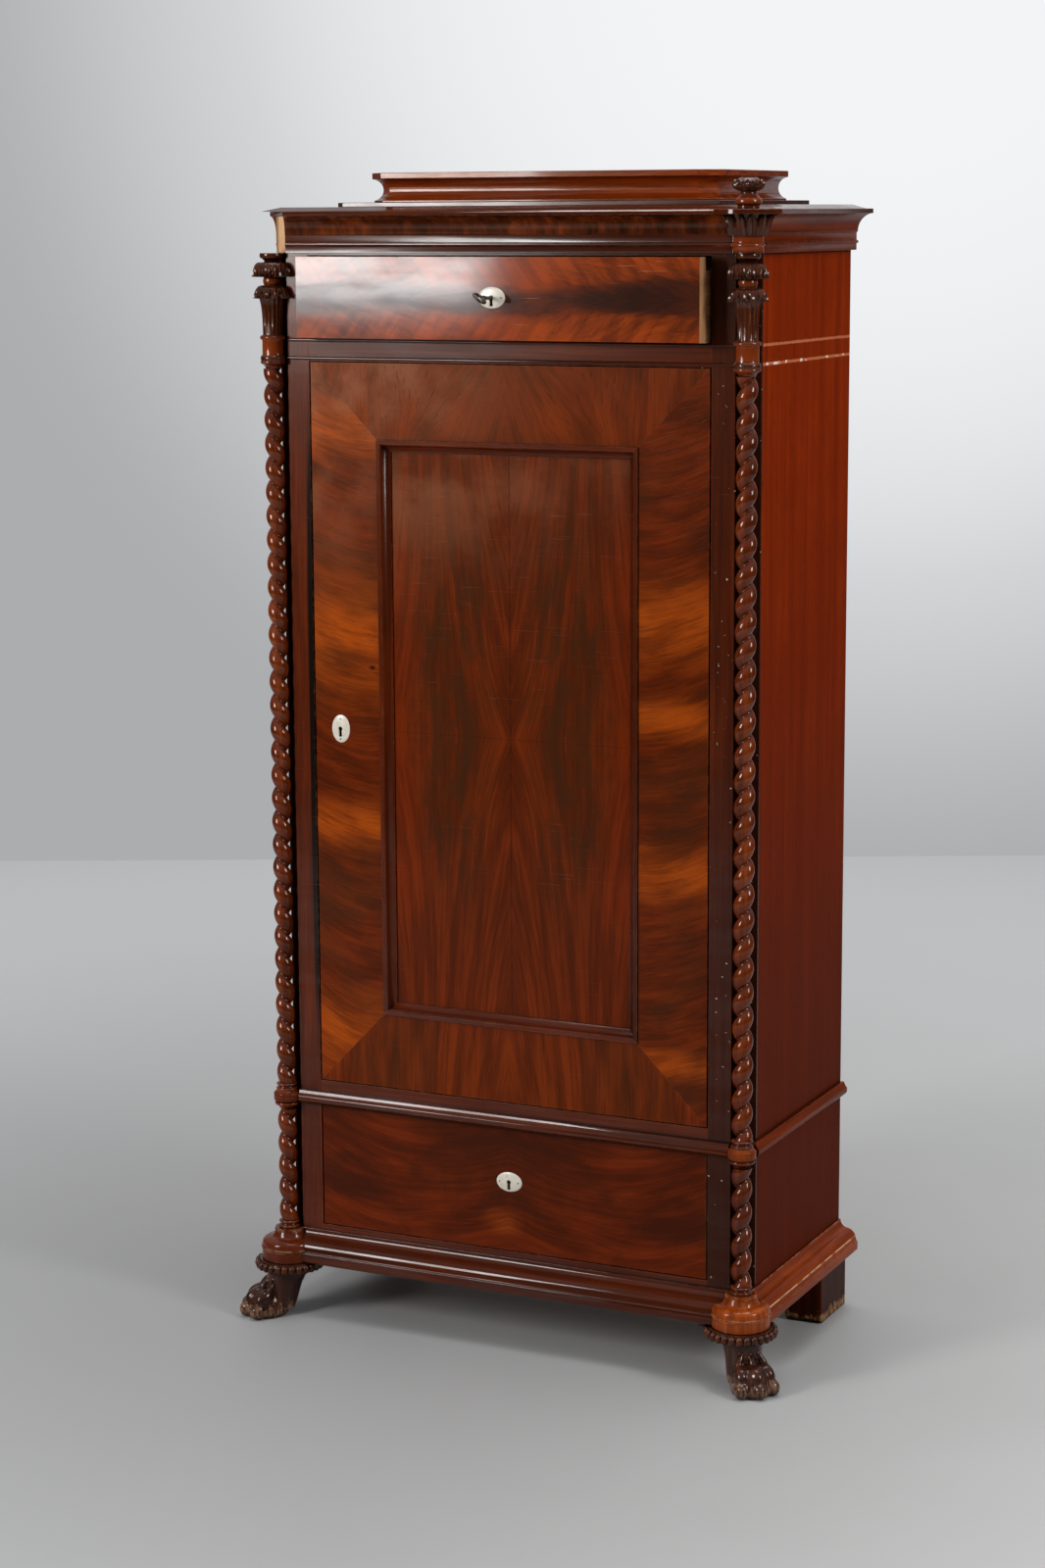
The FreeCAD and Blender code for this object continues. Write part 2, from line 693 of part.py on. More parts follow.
def build_columns():
    """Plinth blocks, waist discs, twisted shafts, capitals and the right-hand cornice block."""
    cutters = {
        side: corner_post(f"case_corner_{name}", side, "0", BACK, f"2 * {CASE_TOP}")
        for name, side in (("left", -1), ("right", 1))
    }
    block = on_column(turned("block_turning", shaped("block_radius", "plinth_height", [
        (0, 0), (0.97, 0), (0.98, 0.33), (1, 0.36), (1, 0.42), (0.97, 0.45, 0.26, CONVEX), (0.7, 0.7),
        (0.6, 0.73, 0.35, CONCAVE), (0.5, 0.92), (0.5, 1), (0, 1),
    ])), "foot_height")
    beside = beside_column("block_side", "plinth_abutment", "foot_height", PLINTH_TOP)
    right = cut("right_block", block, cutters[1], *beside)
    node("plinth_blocks", group("block_pair", [right, mirrored("left_block", right)]))
    disc = on_column(turned("disc_turning", shaped("disc_radius", "disc_height", [
        (0, 0), (0.84, 0), (1, 0.18), (1, 0.76), (0.79, 1), (0, 1),
    ])), WAIST_LOW)
    right = cut("right_disc", disc, cutters[1])
    node("waist_discs", group("disc_pair", [right, mirrored("left_disc", right)]))
    for name, side in (("left", -1), ("right", 1)):
        node(f"{name}_lower_twist", shaft(f"{name}_lower", PLINTH_TOP, WAIST_LOW, side))
        node(f"{name}_upper_twist", shaft(f"{name}_upper", DISC_TOP, RAIL_LOW, side))
        capital = on_column(capital_body(f"{name}_capital_turning"), RAIL_LOW, side)
        node(f"{name}_capital", cut(f"{name}_capital_cut", capital, cutters[side]))
    bell = on_column(turned("bell_turning", shaped("bell_radius", CORNICE_HEIGHT, [
        (0, 0), (0.68, 0), (0.68, 0.17), (0.74, 0.19), (0.74, 0.25), (0.68, 0.27), (0.68, 0.48),
        (0.74, 0.55, 0.8, CONCAVE), (1, 1), (0, 1),
    ])), CORNICE_LOW)
    beside = beside_column("bell_side", "cornice_abutment", CORNICE_LOW, CASE_TOP)
    node("right_cornice_block", cut("cornice_block_cut", bell, cutters[1], *beside))
    node("right_finial", on_column(turned("finial_turning", shaped("finial_radius", "finial_height", [
        (0, 0), (0.67, 0), (0.67, 0.11), (0.8, 0.15), (0.8, 0.33), (0.58, 0.41), (0.49, 0.51), (0.67, 0.58),
        (1, 0.75, 0.28, CONVEX), (0.62, 1), (0, 1),
    ])), TOP_EDGE))


def capital_body(name):
    """A column's head: a drum between rings, a fluted bell and two drooping leaf collars."""
    body = turned(name, shaped("collar_radius", CAPITAL_HEIGHT, [
        (0, 0), (0.73, 0), (0.73, 0.04), (0.62, 0.05), (0.62, 0.19), (0.73, 0.2), (0.73, 0.23),
        (0.57, 0.235), (0.57, 0.48), (0.73, 0.59), (1, 0.605), (1, 0.63, 0.075, CONVEX), (0.54, 0.7),
        (0.54, 0.76), (1, 0.78), (1, 0.81), (0.42, 0.9), (0.42, 0.93), (0.67, 0.96), (0.67, 1), (0, 1),
    ]))
    doc.recompute()
    middle, radius = "collar_radius * 0.63", "collar_radius / 10"
    sketch = body_sketch(body, f"{name}_flute", "XY_Plane")
    bind(sketch, "AttachmentOffset.Base.z", f"{CAPITAL_HEIGHT} * 0.26")
    centre = FreeCAD.Vector(size(middle), 0, 0)
    flute = sketch.addGeometry(Part.Circle(centre, FreeCAD.Vector(0, 0, 1), size(radius)), False)
    sketch.addConstraint(Sketcher.Constraint("PointOnObject", flute, 3, -1))
    hold(sketch, radius, "Radius", flute)
    hold(sketch, middle, "DistanceX", -1, 1, flute, 3)
    pocket = body.newObject("PartDesign::Pocket", f"{name}_flute_cut")
    pocket.Profile = sketch
    pocket.Reversed = True
    bind(pocket, "Length", f"{CAPITAL_HEIGHT} * 0.31")
    ring = body.newObject("PartDesign::PolarPattern", f"{name}_flutes")
    ring.Originals = [pocket]
    ring.Axis = (sketch, ["N_Axis"])
    ring.Angle = 360
    ring.Occurrences = FLUTES
    body.Tip = ring
    return body


def shaft(name, low, high, side):
    """A turned base, a twisted shank and a turned cup, worked from one length of wood."""
    base = on_column(turned(f"{name}_base", shaped("ring_radius", "shaft_base", [
        (0, 0), (0.85, 0), (0.85, 0.33), (0.68, 0.58), (0.85, 0.75), (0.68, 1), (0, 1),
    ])), low, side)
    cup = on_column(turned(f"{name}_cup", shaped("ring_radius", "shaft_cup", [
        (0, 0), (0.63, 0), (0.74, 0.29), (1, 0.67), (1, 1), (0, 1),
    ])), f"{high} - shaft_cup", side)
    shank = doc.addObject("Part::Feature", f"{name}_shank")
    shank.Shape = twisted_shank(size(f"{high} - {low} - shaft_base - shaft_cup"), side)
    foot = FreeCAD.Vector(side * size(AXIS_X), size(AXIS_Y), size(f"{low} + shaft_base"))
    shank.Placement = FreeCAD.Placement(foot, FreeCAD.Rotation())
    return joined(f"{name}_shaft", [base, shank, cup])


def twisted_shank(run, hand):
    """A single-start twist: one cam-shaped section that turns as it rises, in flat rasped facets."""
    crest, groove, pitch = size("twist_radius"), size("twist_groove"), size("twist_pitch")
    bow = ((pitch / 2)**2 + (crest - groove)**2) / (2 * (crest - groove))
    steps = round(run / pitch * TWIST_STEPS_PER_TURN)
    rings = []
    for step in range(steps + 1):
        lift = run * step / steps
        ring = []
        for side in range(TWIST_SIDES):
            angle = 2 * math.pi * side / TWIST_SIDES - math.pi
            reach = crest - bow + math.sqrt(bow**2 - (pitch * angle / (2 * math.pi))**2)
            heading = hand * (angle + 2 * math.pi * lift / pitch)
            ring.append(FreeCAD.Vector(reach * math.cos(heading), reach * math.sin(heading), lift))
        rings.append(ring)
    loops = [rings[0], rings[-1]]
    for below, above in zip(rings, rings[1:]):
        for side in range(TWIST_SIDES):
            after = (side + 1) % TWIST_SIDES
            loops.append([below[side], below[after], above[after]])
            loops.append([below[side], above[after], above[side]])
    shell = Part.makeShell([Part.Face(Part.makePolygon(loop + loop[:1])) for loop in loops])
    shell.sewShape()
    solid = Part.Solid(shell)
    if solid.Volume < 0:
        solid.reverse()
    return solid


def leg_of_paw():
    """The leg's S-curve, from the ankle up to the collar, lofted through ovals."""
    ankle = "(0.7 * paw_height)"
    stations = (
        (0, 0.25, 0.53, 0.52), (0.35, 0.16, 0.53, 0.51), (0.62, 0.07, 0.6, 0.54), (0.85, 0, 0.72, 0.66),
    )
    rings = []
    for index, (rise, forward, along, across) in enumerate(stations):
        ring = doc.addObject("Part::Ellipse", f"leg_ring_{index}")
        bind(ring, "MajorRadius", f"foot_collar_radius * {along}")
        bind(ring, "MinorRadius", f"foot_collar_radius * {across}")
        level = f"{ankle} + (foot_height - {ankle}) * {rise}"
        rings.append(place(ring, f"paw_reach * {forward}", "0", level))
    leg = doc.addObject("Part::Loft", "leg_loft")
    leg.Sections = rings
    leg.Solid = True
    return leg


def build_feet():
    """Two carved paw feet set at 45 degrees under the columns, and two plain rear blocks."""
    collar = turned("foot_collar", shaped("foot_collar_radius", "foot_collar_height", [
        (0, 0), (0.82, 0), (1, 0.37), (1, 0.69), (0.86, 1), (0, 1),
    ]))
    place(collar, z="foot_height - foot_collar_height")
    pad_radii = ("paw_reach * 0.53", "paw_half_width", "paw_height")
    pieces = [leg_of_paw(), collar, ball("paw_pad", pad_radii, "paw_reach * 0.62", "0", "paw_height * 0.35")]
    tip_radii = ("toe_radius * 1.1", "toe_radius * 0.86", "toe_radius")
    knuckle_radii = ("toe_radius * 1.15", "toe_radius * 0.8", "toe_radius * 0.95")
    for index, (forward, aside) in enumerate(((0.86, -0.68), (1, 0), (0.86, 0.68))):
        sideways = f"paw_half_width * {aside}"
        pieces.append(ball(f"toe_{index}", tip_radii, f"paw_reach * {forward}", sideways, "toe_radius * 0.8"))
        pieces.append(ball(f"knuckle_{index}", knuckle_radii, f"paw_reach * ({forward} - 0.13)", sideways,
                           "toe_radius * 2.2"))
    for index, degrees in enumerate((135, -135)):
        ear = padded(f"ear_{index}", "XZ_Plane", shaped("ear_length", "foot_height", [
            (0, 1), (0, 0.17), (0.06, 0.17, 0.83, CONCAVE), (1, 0.95), (1, 1),
        ]), "ear_thickness")
        pieces.append(place(ear, f"ear_thickness / 2 * cos({degrees + 90} deg)",
                            f"ear_thickness / 2 * sin({degrees + 90} deg)", "0", turn("z", degrees)))
    around = about("0", BEYOND)
    below_floor = board("below_floor", around, around, (f"-{BEYOND}", "0"))
    carving = cut("paw_carving", joined("paw_blank", pieces), below_floor)
    right = carried("right_paw", carving, AXIS_X, AXIS_Y, "0", turn("z", -45))
    node("paw_feet", group("paw_pair", [right, mirrored("left_paw", right)]))
    outer = "(case_half_width + rear_foot_overhang)"
    inner = f"({outer} - rear_foot_width)"
    face = f"({BACK} - rear_foot_depth)"
    block = board("rear_block", (inner, outer), (face, BACK), ("0", "foot_height"))
    wear = [(face, "0"), (f"{face} + rear_foot_bevel", "0"), (face, "rear_foot_bevel")]
    worn_edge = place(padded("rear_block_wear", "YZ_Plane", wear, "rear_foot_width"), inner)
    right = cut("right_rear_block", block, worn_edge)
    node("rear_feet", group("rear_pair", [right, mirrored("left_rear_block", right)]))


def keyhole(name, x, y, z, depth):
    """A round hole with a slot below it, cut straight back through a front."""
    round_hole = rod(f"{name}_round", "keyhole_radius", depth, x, y, z, turn("x", -90))
    slot = board(f"{name}_slot", about(x, "keyhole_slot / 2"), (y, f"{y} + {depth}"),
                 (f"{z} - keyhole_drop", z))
    return [round_hole, slot]


def escutcheon(name, half_x, half_z, x, y, z):
    """A domed oval keyhole plate on a front at y."""
    dome = ball(f"{name}_dome", (half_x, half_z, "escutcheon_rise"), x, y, z, 0, turn("x", 90))
    hole = keyhole(f"{name}_hole", x, f"({y} - 2 * escutcheon_rise)", z, "3 * escutcheon_rise")
    return cut(f"{name}_cut", dome, *hole)


def lock(name, key_drop):
    """A lock case, open to the front, and its bolt.

    The edge that the bolt leaves by is z = 0 and the open face is y = 0.
    """
    low = f"(-{key_drop} - lock_tail)"
    half = "(lock_width / 2)"
    shell = board(f"{name}_shell", about("0", half), ("0", "lock_depth"), (low, "0"))
    hollow = board(f"{name}_hollow", about("0", f"({half} - lock_wall)"),
                   ("-lock_wall", "lock_depth - lock_wall"), (f"{low} + lock_wall", "-lock_wall"))
    back = "(lock_depth - lock_wall - bolt_clearance)"
    front = f"({back} - bolt_thickness)"
    slot = board(f"{name}_slot", about("0", "(bolt_width / 2 + bolt_clearance)"),
                 (f"{front} - bolt_clearance", f"{back} + bolt_clearance"), ("-2 * lock_wall", "lock_wall"))
    bolt = board(f"{name}_tongue", about("0", "bolt_width / 2"), (front, back),
                 (f"-{key_drop} + bit_length + bit_clearance", "-bolt_clearance"))
    return cut(f"{name}_case", shell, hollow, slot), bolt


def frame_corners(edge, low, high):
    """The four corners of a rectangle centred on x = 0, by name."""
    return {
        "low_left": (f"-{edge}", low),
        "low_right": (edge, low),
        "high_right": (edge, high),
        "high_left": (f"-{edge}", high),
    }


def door_members():
    """The four mitred members of the door frame, rebated at the back for the panel."""
    share = "rebate_width / door_stile"
    rebated = (f"({PANEL_EDGE} + rebate_width)", f"({PANEL_LOW} - door_bottom_rail * {share})",
               f"({PANEL_HIGH} + door_top_rail * {share})")
    outer = frame_corners(DOOR_EDGE, DOOR_LOW, DOOR_HIGH)
    layers = {
        "rebate_depth": frame_corners(PANEL_EDGE, PANEL_LOW, PANEL_HIGH),
        "door_thickness": frame_corners(*rebated),
    }
    ends = {
        "door_left_stile": ("high_left", "low_left"),
        "door_right_stile": ("low_right", "high_right"),
        "door_bottom_rail": ("low_left", "low_right"),
        "door_top_rail": ("high_right", "high_left"),
    }
    members = {}
    for name, (first, second) in ends.items():
        body = doc.addObject("PartDesign::Body", name)
        for thickness, inner in layers.items():
            corners = [outer[first], outer[second], inner[second], inner[first]]
            add_pad(body, f"{name}_{thickness}", "XZ_Plane", corners, thickness, reverse=True)
        members[name] = place(body, y=FRONT)
    return members


def build_door():
    """Mitred frame, recessed panel with its moulding, lock, keyhole plate and pivot hinges."""
    members = door_members()
    key_x = f"(-{DOOR_EDGE} + door_key_drop)"
    lock_face = f"({FRONT} + door_thickness - lock_depth)"
    recess = board("door_lock_recess", (f"-{DOOR_EDGE}", f"{key_x} + lock_tail"),
                   (lock_face, f"{FRONT} + door_thickness"), about(DOOR_KEY, "lock_width / 2"))
    hole = keyhole("door_keyhole", key_x, FRONT, DOOR_KEY, "door_thickness")
    members["door_left_stile"] = cut("door_left_stile_cut", members["door_left_stile"], recess, *hole)
    hang_door(members)
    node("door_frame", group("door_frame_set", list(members.values())))
    room = "(rebate_width - panel_clearance)"
    node("door_panel", board("panel", about("0", f"({PANEL_EDGE} + {room})"),
                             (PANEL_FRONT, f"{PANEL_FRONT} + panel_thickness"),
                             (f"{PANEL_LOW} - {room}", f"{PANEL_HIGH} + {room}")))
    node("panel_moulding", panel_moulding())
    node("door_escutcheon", escutcheon("door_plate", "escutcheon_half_width", "escutcheon_half_length",
                                       key_x, FRONT, DOOR_KEY))
    case, bolt = lock("door_lock_work", "door_key_drop")
    for name, piece in (("door_lock", case), ("door_bolt", bolt)):
        node(name, carried(f"{name}_set", piece, f"-{DOOR_EDGE}", lock_face, DOOR_KEY,
                           turn("y", -90)))


def hang_door(members):
    """Let pivot plates into the door's right-hand corners, and set their pins in the rails."""
    plates, pins = [], []
    for name, rail, edge, level, side in (("low", "door_bottom_rail", DOOR_LOW, WAIST_TOP, 1),
                                          ("high", "door_top_rail", DOOR_HIGH, RAIL_LOW, -1)):
        levels = sorted((edge, f"{edge} + {side} * hinge_plate_thickness"), key=size)
        plate = board(f"{name}_door_plate", (f"{PIVOT_X} - hinge_plate_length", DOOR_EDGE),
                      about(PIVOT_Y, "hinge_plate_width / 2"), levels)
        bore = rod(f"{name}_bore", "pivot_radius + pivot_clearance", "2 * pivot_length", PIVOT_X, PIVOT_Y,
                   f"{edge} - pivot_length")
        plates.append(cut(f"{name}_socket_plate", plate, bore))
        for member in (rail, "door_right_stile"):
            members[member] = cut(f"{member}_{name}_bored", members[member], plate, bore)
        length = "(pivot_length - pivot_end_gap)"
        pin_low = min((level, f"{level} + {side} * {length}"), key=size)
        pin = rod(f"{name}_pin", "pivot_radius", length, PIVOT_X, PIVOT_Y, pin_low)
        pins.append(joined(f"{name}_pivot", [sole_plate(f"{name}_sole", level, -side), pin]))
    node("door_hinge_plates", group("door_plate_pair", plates))
    node("hinge_pins", group("pivot_pair", pins))


def panel_moulding():
    """Four mitred lengths of a small beaded moulding inside the door frame."""
    profile = shaped("panel_moulding_width", "(rebate_depth + panel_moulding_proud)", [
        (0, 0), (1, 0), (1, 0.14, 1.1, CONCAVE), (0.44, 0.71), (0.44, 0.89), (0.34, 1), (0, 1),
    ])
    across, upright = f"(2 * {PANEL_EDGE})", f"({PANEL_HIGH} - {PANEL_LOW})"
    sides = (
        ("bottom", across, f"-{PANEL_EDGE}", PANEL_LOW, 0),
        ("right", upright, PANEL_EDGE, PANEL_LOW, -90),
        ("top", across, PANEL_EDGE, PANEL_HIGH, 180),
        ("left", upright, f"-{PANEL_EDGE}", PANEL_HIGH, 90),
    )
    lengths = []
    for name, run, x, z, degrees in sides:
        length = moulding(f"panel_{name}_moulding", profile, run, "panel_moulding_width", "1", "1")
        lengths.append(place(length, x, PANEL_FRONT, z, turn("y", degrees).multiply(turn("x", 90))))
    return group("panel_moulding_set", lengths)


def build_drawer(name, seat, ceiling, pull, key_drop, side_height):
    """A drawer: front with lock and keyhole plate, sides and back grooved for a thin bottom."""
    face = f"({FRONT} - {pull})"
    behind = f"({face} + drawer_front)"
    end = f"({face} + case_depth - back_thickness - drawer_back_room)"
    high = f"({ceiling} - drawer_gap)"
    key_z = f"({high} - {key_drop})"
    lock_face = f"({behind} - lock_depth)"
    outer = f"({DOOR_EDGE} - drawer_side_gap)"
    inner = f"({outer} - drawer_side)"
    sole = f"({seat} + running_gap)"
    rim = f"{sole} + {side_height}"
    floor = (f"{sole} + bottom_rise", f"{sole} + bottom_rise + drawer_bottom")
    bottom_room = (about("0", f"({inner} + groove_depth)"), (f"{behind} - groove_depth", end), floor)
    groove = board(f"{name}_groove", *bottom_room)
    front = board(f"{name}_face", about("0", DOOR_EDGE), (face, behind), (f"({seat} + drawer_gap)", high))
    recess = board(f"{name}_lock_recess", about("0", "lock_width / 2"), (lock_face, behind),
                   (f"{key_z} - lock_tail", high))
    hole = keyhole(f"{name}_keyhole", "0", face, key_z, "drawer_front")
    node(f"{name}_front", cut(f"{name}_front_cut", front, recess, groove, *hole))
    walls = [board(f"{name}_back", about("0", inner), (f"{end} - drawer_side", end), (floor[1], rim))]
    for side, edges in (("left", (f"-{outer}", f"-{inner}")), ("right", (inner, outer))):
        blank = board(f"{name}_{side}_side", edges, (behind, end), (sole, rim))
        walls.append(cut(f"{name}_{side}_wall", blank, groove))
    node(f"{name}_sides", group(f"{name}_wall_set", walls))
    node(f"{name}_bottom", board(f"{name}_floor", *bottom_room))
    node(f"{name}_escutcheon", escutcheon(f"{name}_plate", "escutcheon_half_length",
                                          "escutcheon_half_width", "0", face, key_z))
    case, bolt = lock(f"{name}_lock_work", key_drop)
    for part, piece in (("lock", case), ("bolt", bolt)):
        node(f"{name}_{part}", carried(f"{name}_{part}_set", piece, "0", lock_face, high))
    return face, key_z


def build_key(face, key_z):
    """A small iron key in the top drawer, with its bow and bit level."""
    inner_end = f"({face} + drawer_front - 2 * lock_wall)"
    outer_end = f"({face} - key_stem)"
    level = turn("x", -90)
    stem = rod("key_shank", "key_radius", f"{inner_end} - {outer_end}", "0", outer_end, key_z, level)
    collar = rod("key_ring", "key_collar", "key_radius", "0", f"{outer_end} + bow_wire", key_z, level)
    bow = doc.addObject("Part::Torus", "key_bow")
    bind(bow, "Radius1", "bow_radius")
    bind(bow, "Radius2", "bow_wire")
    place(bow, "0", f"{outer_end} - bow_radius", key_z)
    bit_end = f"({inner_end} - lock_wall)"
    bit = board("key_bit", ("-bit_length", "0"), (f"{bit_end} - bit_height", bit_end),
                about(key_z, "bit_thickness / 2"))
    node("top_drawer_key", joined("key_forging", [stem, bow, bit, collar]))


def check_and_write():
    """Refuse failed features and broken shapes, then write one file for each node."""
    doc.recompute()
    for item in doc.Objects:
        if {"Invalid", "Error"} & set(item.State):
            raise RuntimeError(f"{item.Label} failed: {item.State}")
    for name, item in nodes.items():
        if item.Shape.isNull() or not item.Shape.isValid() or not item.Shape.Solids:
            raise RuntimeError(f"{name} has no sound shape")
    os.makedirs("parts", exist_ok=True)
    for name, item in nodes.items():
        item.Shape.exportStep(f"parts/{name}.step")


def main():
    """Build the cabinet from the case outwards and write its pieces."""
    fill_sheet()
    build_boards()
    build_front_frame()
    build_inside()
    build_mouldings()
    build_cornice()
    build_top()
    build_gallery()
    build_columns()
    build_feet()
    build_door()
    face, key_z = build_drawer("top_drawer", UPPER_SEAT, FRIEZE_LOW, "drawer_pull", "upper_key_drop",
                               "upper_side_height")
    build_key(face, key_z)
    build_drawer("bottom_drawer", LOWER_SEAT, WAIST_LOW, "0", "lower_key_drop", "lower_side_height")
    check_and_write()


main()
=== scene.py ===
"""Looks of the pedestal cabinet: polished mahogany, carved heads and paws, bone keyhole plates."""
import logging
import math
from dataclasses import dataclass
from enum import Enum
from functools import cache
from typing import Any, Iterable, Mapping, NamedTuple, Optional, Sequence, Union

import bmesh
import bpy
from mathutils import Matrix, Vector


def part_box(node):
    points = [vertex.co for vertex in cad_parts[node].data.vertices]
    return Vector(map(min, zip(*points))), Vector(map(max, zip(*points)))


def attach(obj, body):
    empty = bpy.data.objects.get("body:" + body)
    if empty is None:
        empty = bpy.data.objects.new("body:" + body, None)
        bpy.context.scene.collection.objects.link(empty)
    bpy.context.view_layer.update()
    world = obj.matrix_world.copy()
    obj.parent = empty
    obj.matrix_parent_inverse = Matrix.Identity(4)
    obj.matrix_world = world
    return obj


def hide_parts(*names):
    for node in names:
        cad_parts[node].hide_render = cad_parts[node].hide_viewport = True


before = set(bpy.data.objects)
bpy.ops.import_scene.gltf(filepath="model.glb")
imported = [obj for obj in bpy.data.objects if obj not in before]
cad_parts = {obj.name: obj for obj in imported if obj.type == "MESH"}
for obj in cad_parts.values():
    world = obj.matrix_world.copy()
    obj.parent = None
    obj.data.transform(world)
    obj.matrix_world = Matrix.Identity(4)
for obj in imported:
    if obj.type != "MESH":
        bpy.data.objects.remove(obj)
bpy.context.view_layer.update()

log = logging.getLogger("pedestal_cabinet")

Colour = tuple[float, float, float, float]
Profile = Sequence[tuple[float, float]]

UP = Vector((0.0, 0.0, 1.0))
FULL_TURN = 2 * math.pi
MERGE = 1e-6
CANTED = 0.3  # a face looks out of a corner where its normal leans both ways by more than this
COLUMN_X = 0.348
COLUMN_Y = -0.1432


def srgb(red: int, green: int, blue: int) -> Colour:
    """Turn a colour as seen on a screen, 0 to 255, into the linear one that shaders take."""
    def linear(level: int) -> float:
        """One channel."""
        share = level / 255
        return share / 12.92 if share <= 0.04045 else ((share + 0.055) / 1.055) ** 2.4
    return (linear(red), linear(green), linear(blue), 1.0)


def tones(*levels: tuple[int, int, int]) -> dict[str, Colour]:
    """The dark, middle and light tone of a wood, as values for a finish."""
    return {key: srgb(*level) for key, level in zip(("dark", "middle", "light"), levels)}


OPEN_PORE = srgb(34, 12, 5)
# dark tone for hollows: old soil and polish there, and painted shade
HOLLOW_DIRT_AND_SHADE = srgb(20, 8, 4)
# painted shadow along the gap beside the door
GAP_SHADOW_TONE = srgb(10, 4, 2)
# painted shade on the right stile, behind the column and the open drawer
STILE_SHADE_TONE = srgb(34, 12, 5)
PALE_SPECK = srgb(206, 196, 180)
CHIPPED = srgb(176, 112, 66)
DRY_SCRATCH = srgb(190, 150, 120)
JOINT_LINE = srgb(28, 10, 5)
WARM_GLEAM = srgb(255, 206, 170)


class Side(Enum):
    """Which side of the cabinet a piece stands on, as seen from the front."""

    LEFT = -1
    RIGHT = 1

    @property
    def axis(self) -> Vector:
        """The foot of this side's column axis."""
        return Vector((self.value * COLUMN_X, COLUMN_Y, 0.0))


class Grain(Enum):
    """The run of a board's grain: the order of x, y and z as along, across and through."""

    ALONG_X = (0, 2, 1)
    ALONG_Y = (1, 2, 0)
    ALONG_Z = (2, 0, 1)


class Figure(Enum):
    """How a sheet of veneer is cut and matched."""

    QUARTERED = "four leaves matched about both centre lines"
    CROSS_STILE = "short grain across an upright"
    CROSS_RAIL = "short grain across a rail"
    BANDED = "a dark heart band with flames above and below"
    SWIRLED = "slow swirls about a centre seam"


class Wire:
    """A value that runs through a node tree. Arithmetic on it adds the nodes that do it."""

    def __init__(self, net: "Net", socket: bpy.types.NodeSocket) -> None:
        """Keep the net and the socket that the value comes out of."""
        self.net = net
        self.socket = socket

    def __add__(self, other: "Value") -> "Wire":
        """This value plus another."""
        return self.net.reckon("ADD", self, other)

    def __radd__(self, other: float) -> "Wire":
        """A number plus this value."""
        return self.net.reckon("ADD", other, self)

    def __sub__(self, other: "Value") -> "Wire":
        """This value less another."""
        return self.net.reckon("SUBTRACT", self, other)

    def __rsub__(self, other: float) -> "Wire":
        """A number less this value."""
        return self.net.reckon("SUBTRACT", other, self)

    def __mul__(self, other: "Value") -> "Wire":
        """This value times another."""
        return self.net.reckon("MULTIPLY", self, other)

    def __truediv__(self, other: "Value") -> "Wire":
        """This value divided by another."""
        return self.net.reckon("DIVIDE", self, other)

    def __pow__(self, other: "Value") -> "Wire":
        """This value raised to a power."""
        return self.net.reckon("POWER", self, other)

    def __abs__(self) -> "Wire":
        """This value without its sign."""
        return self.net.reckon("ABSOLUTE", self)

    def over(self, level: float) -> "Wire":
        """1 where the value lies above a level, and 0 elsewhere."""
        return self.net.reckon("GREATER_THAN", self, level)

    def under(self, level: float) -> "Wire":
        """1 where the value lies below a level, and 0 elsewhere."""
        return self.net.reckon("LESS_THAN", self, level)


Value = Union[float, Wire]


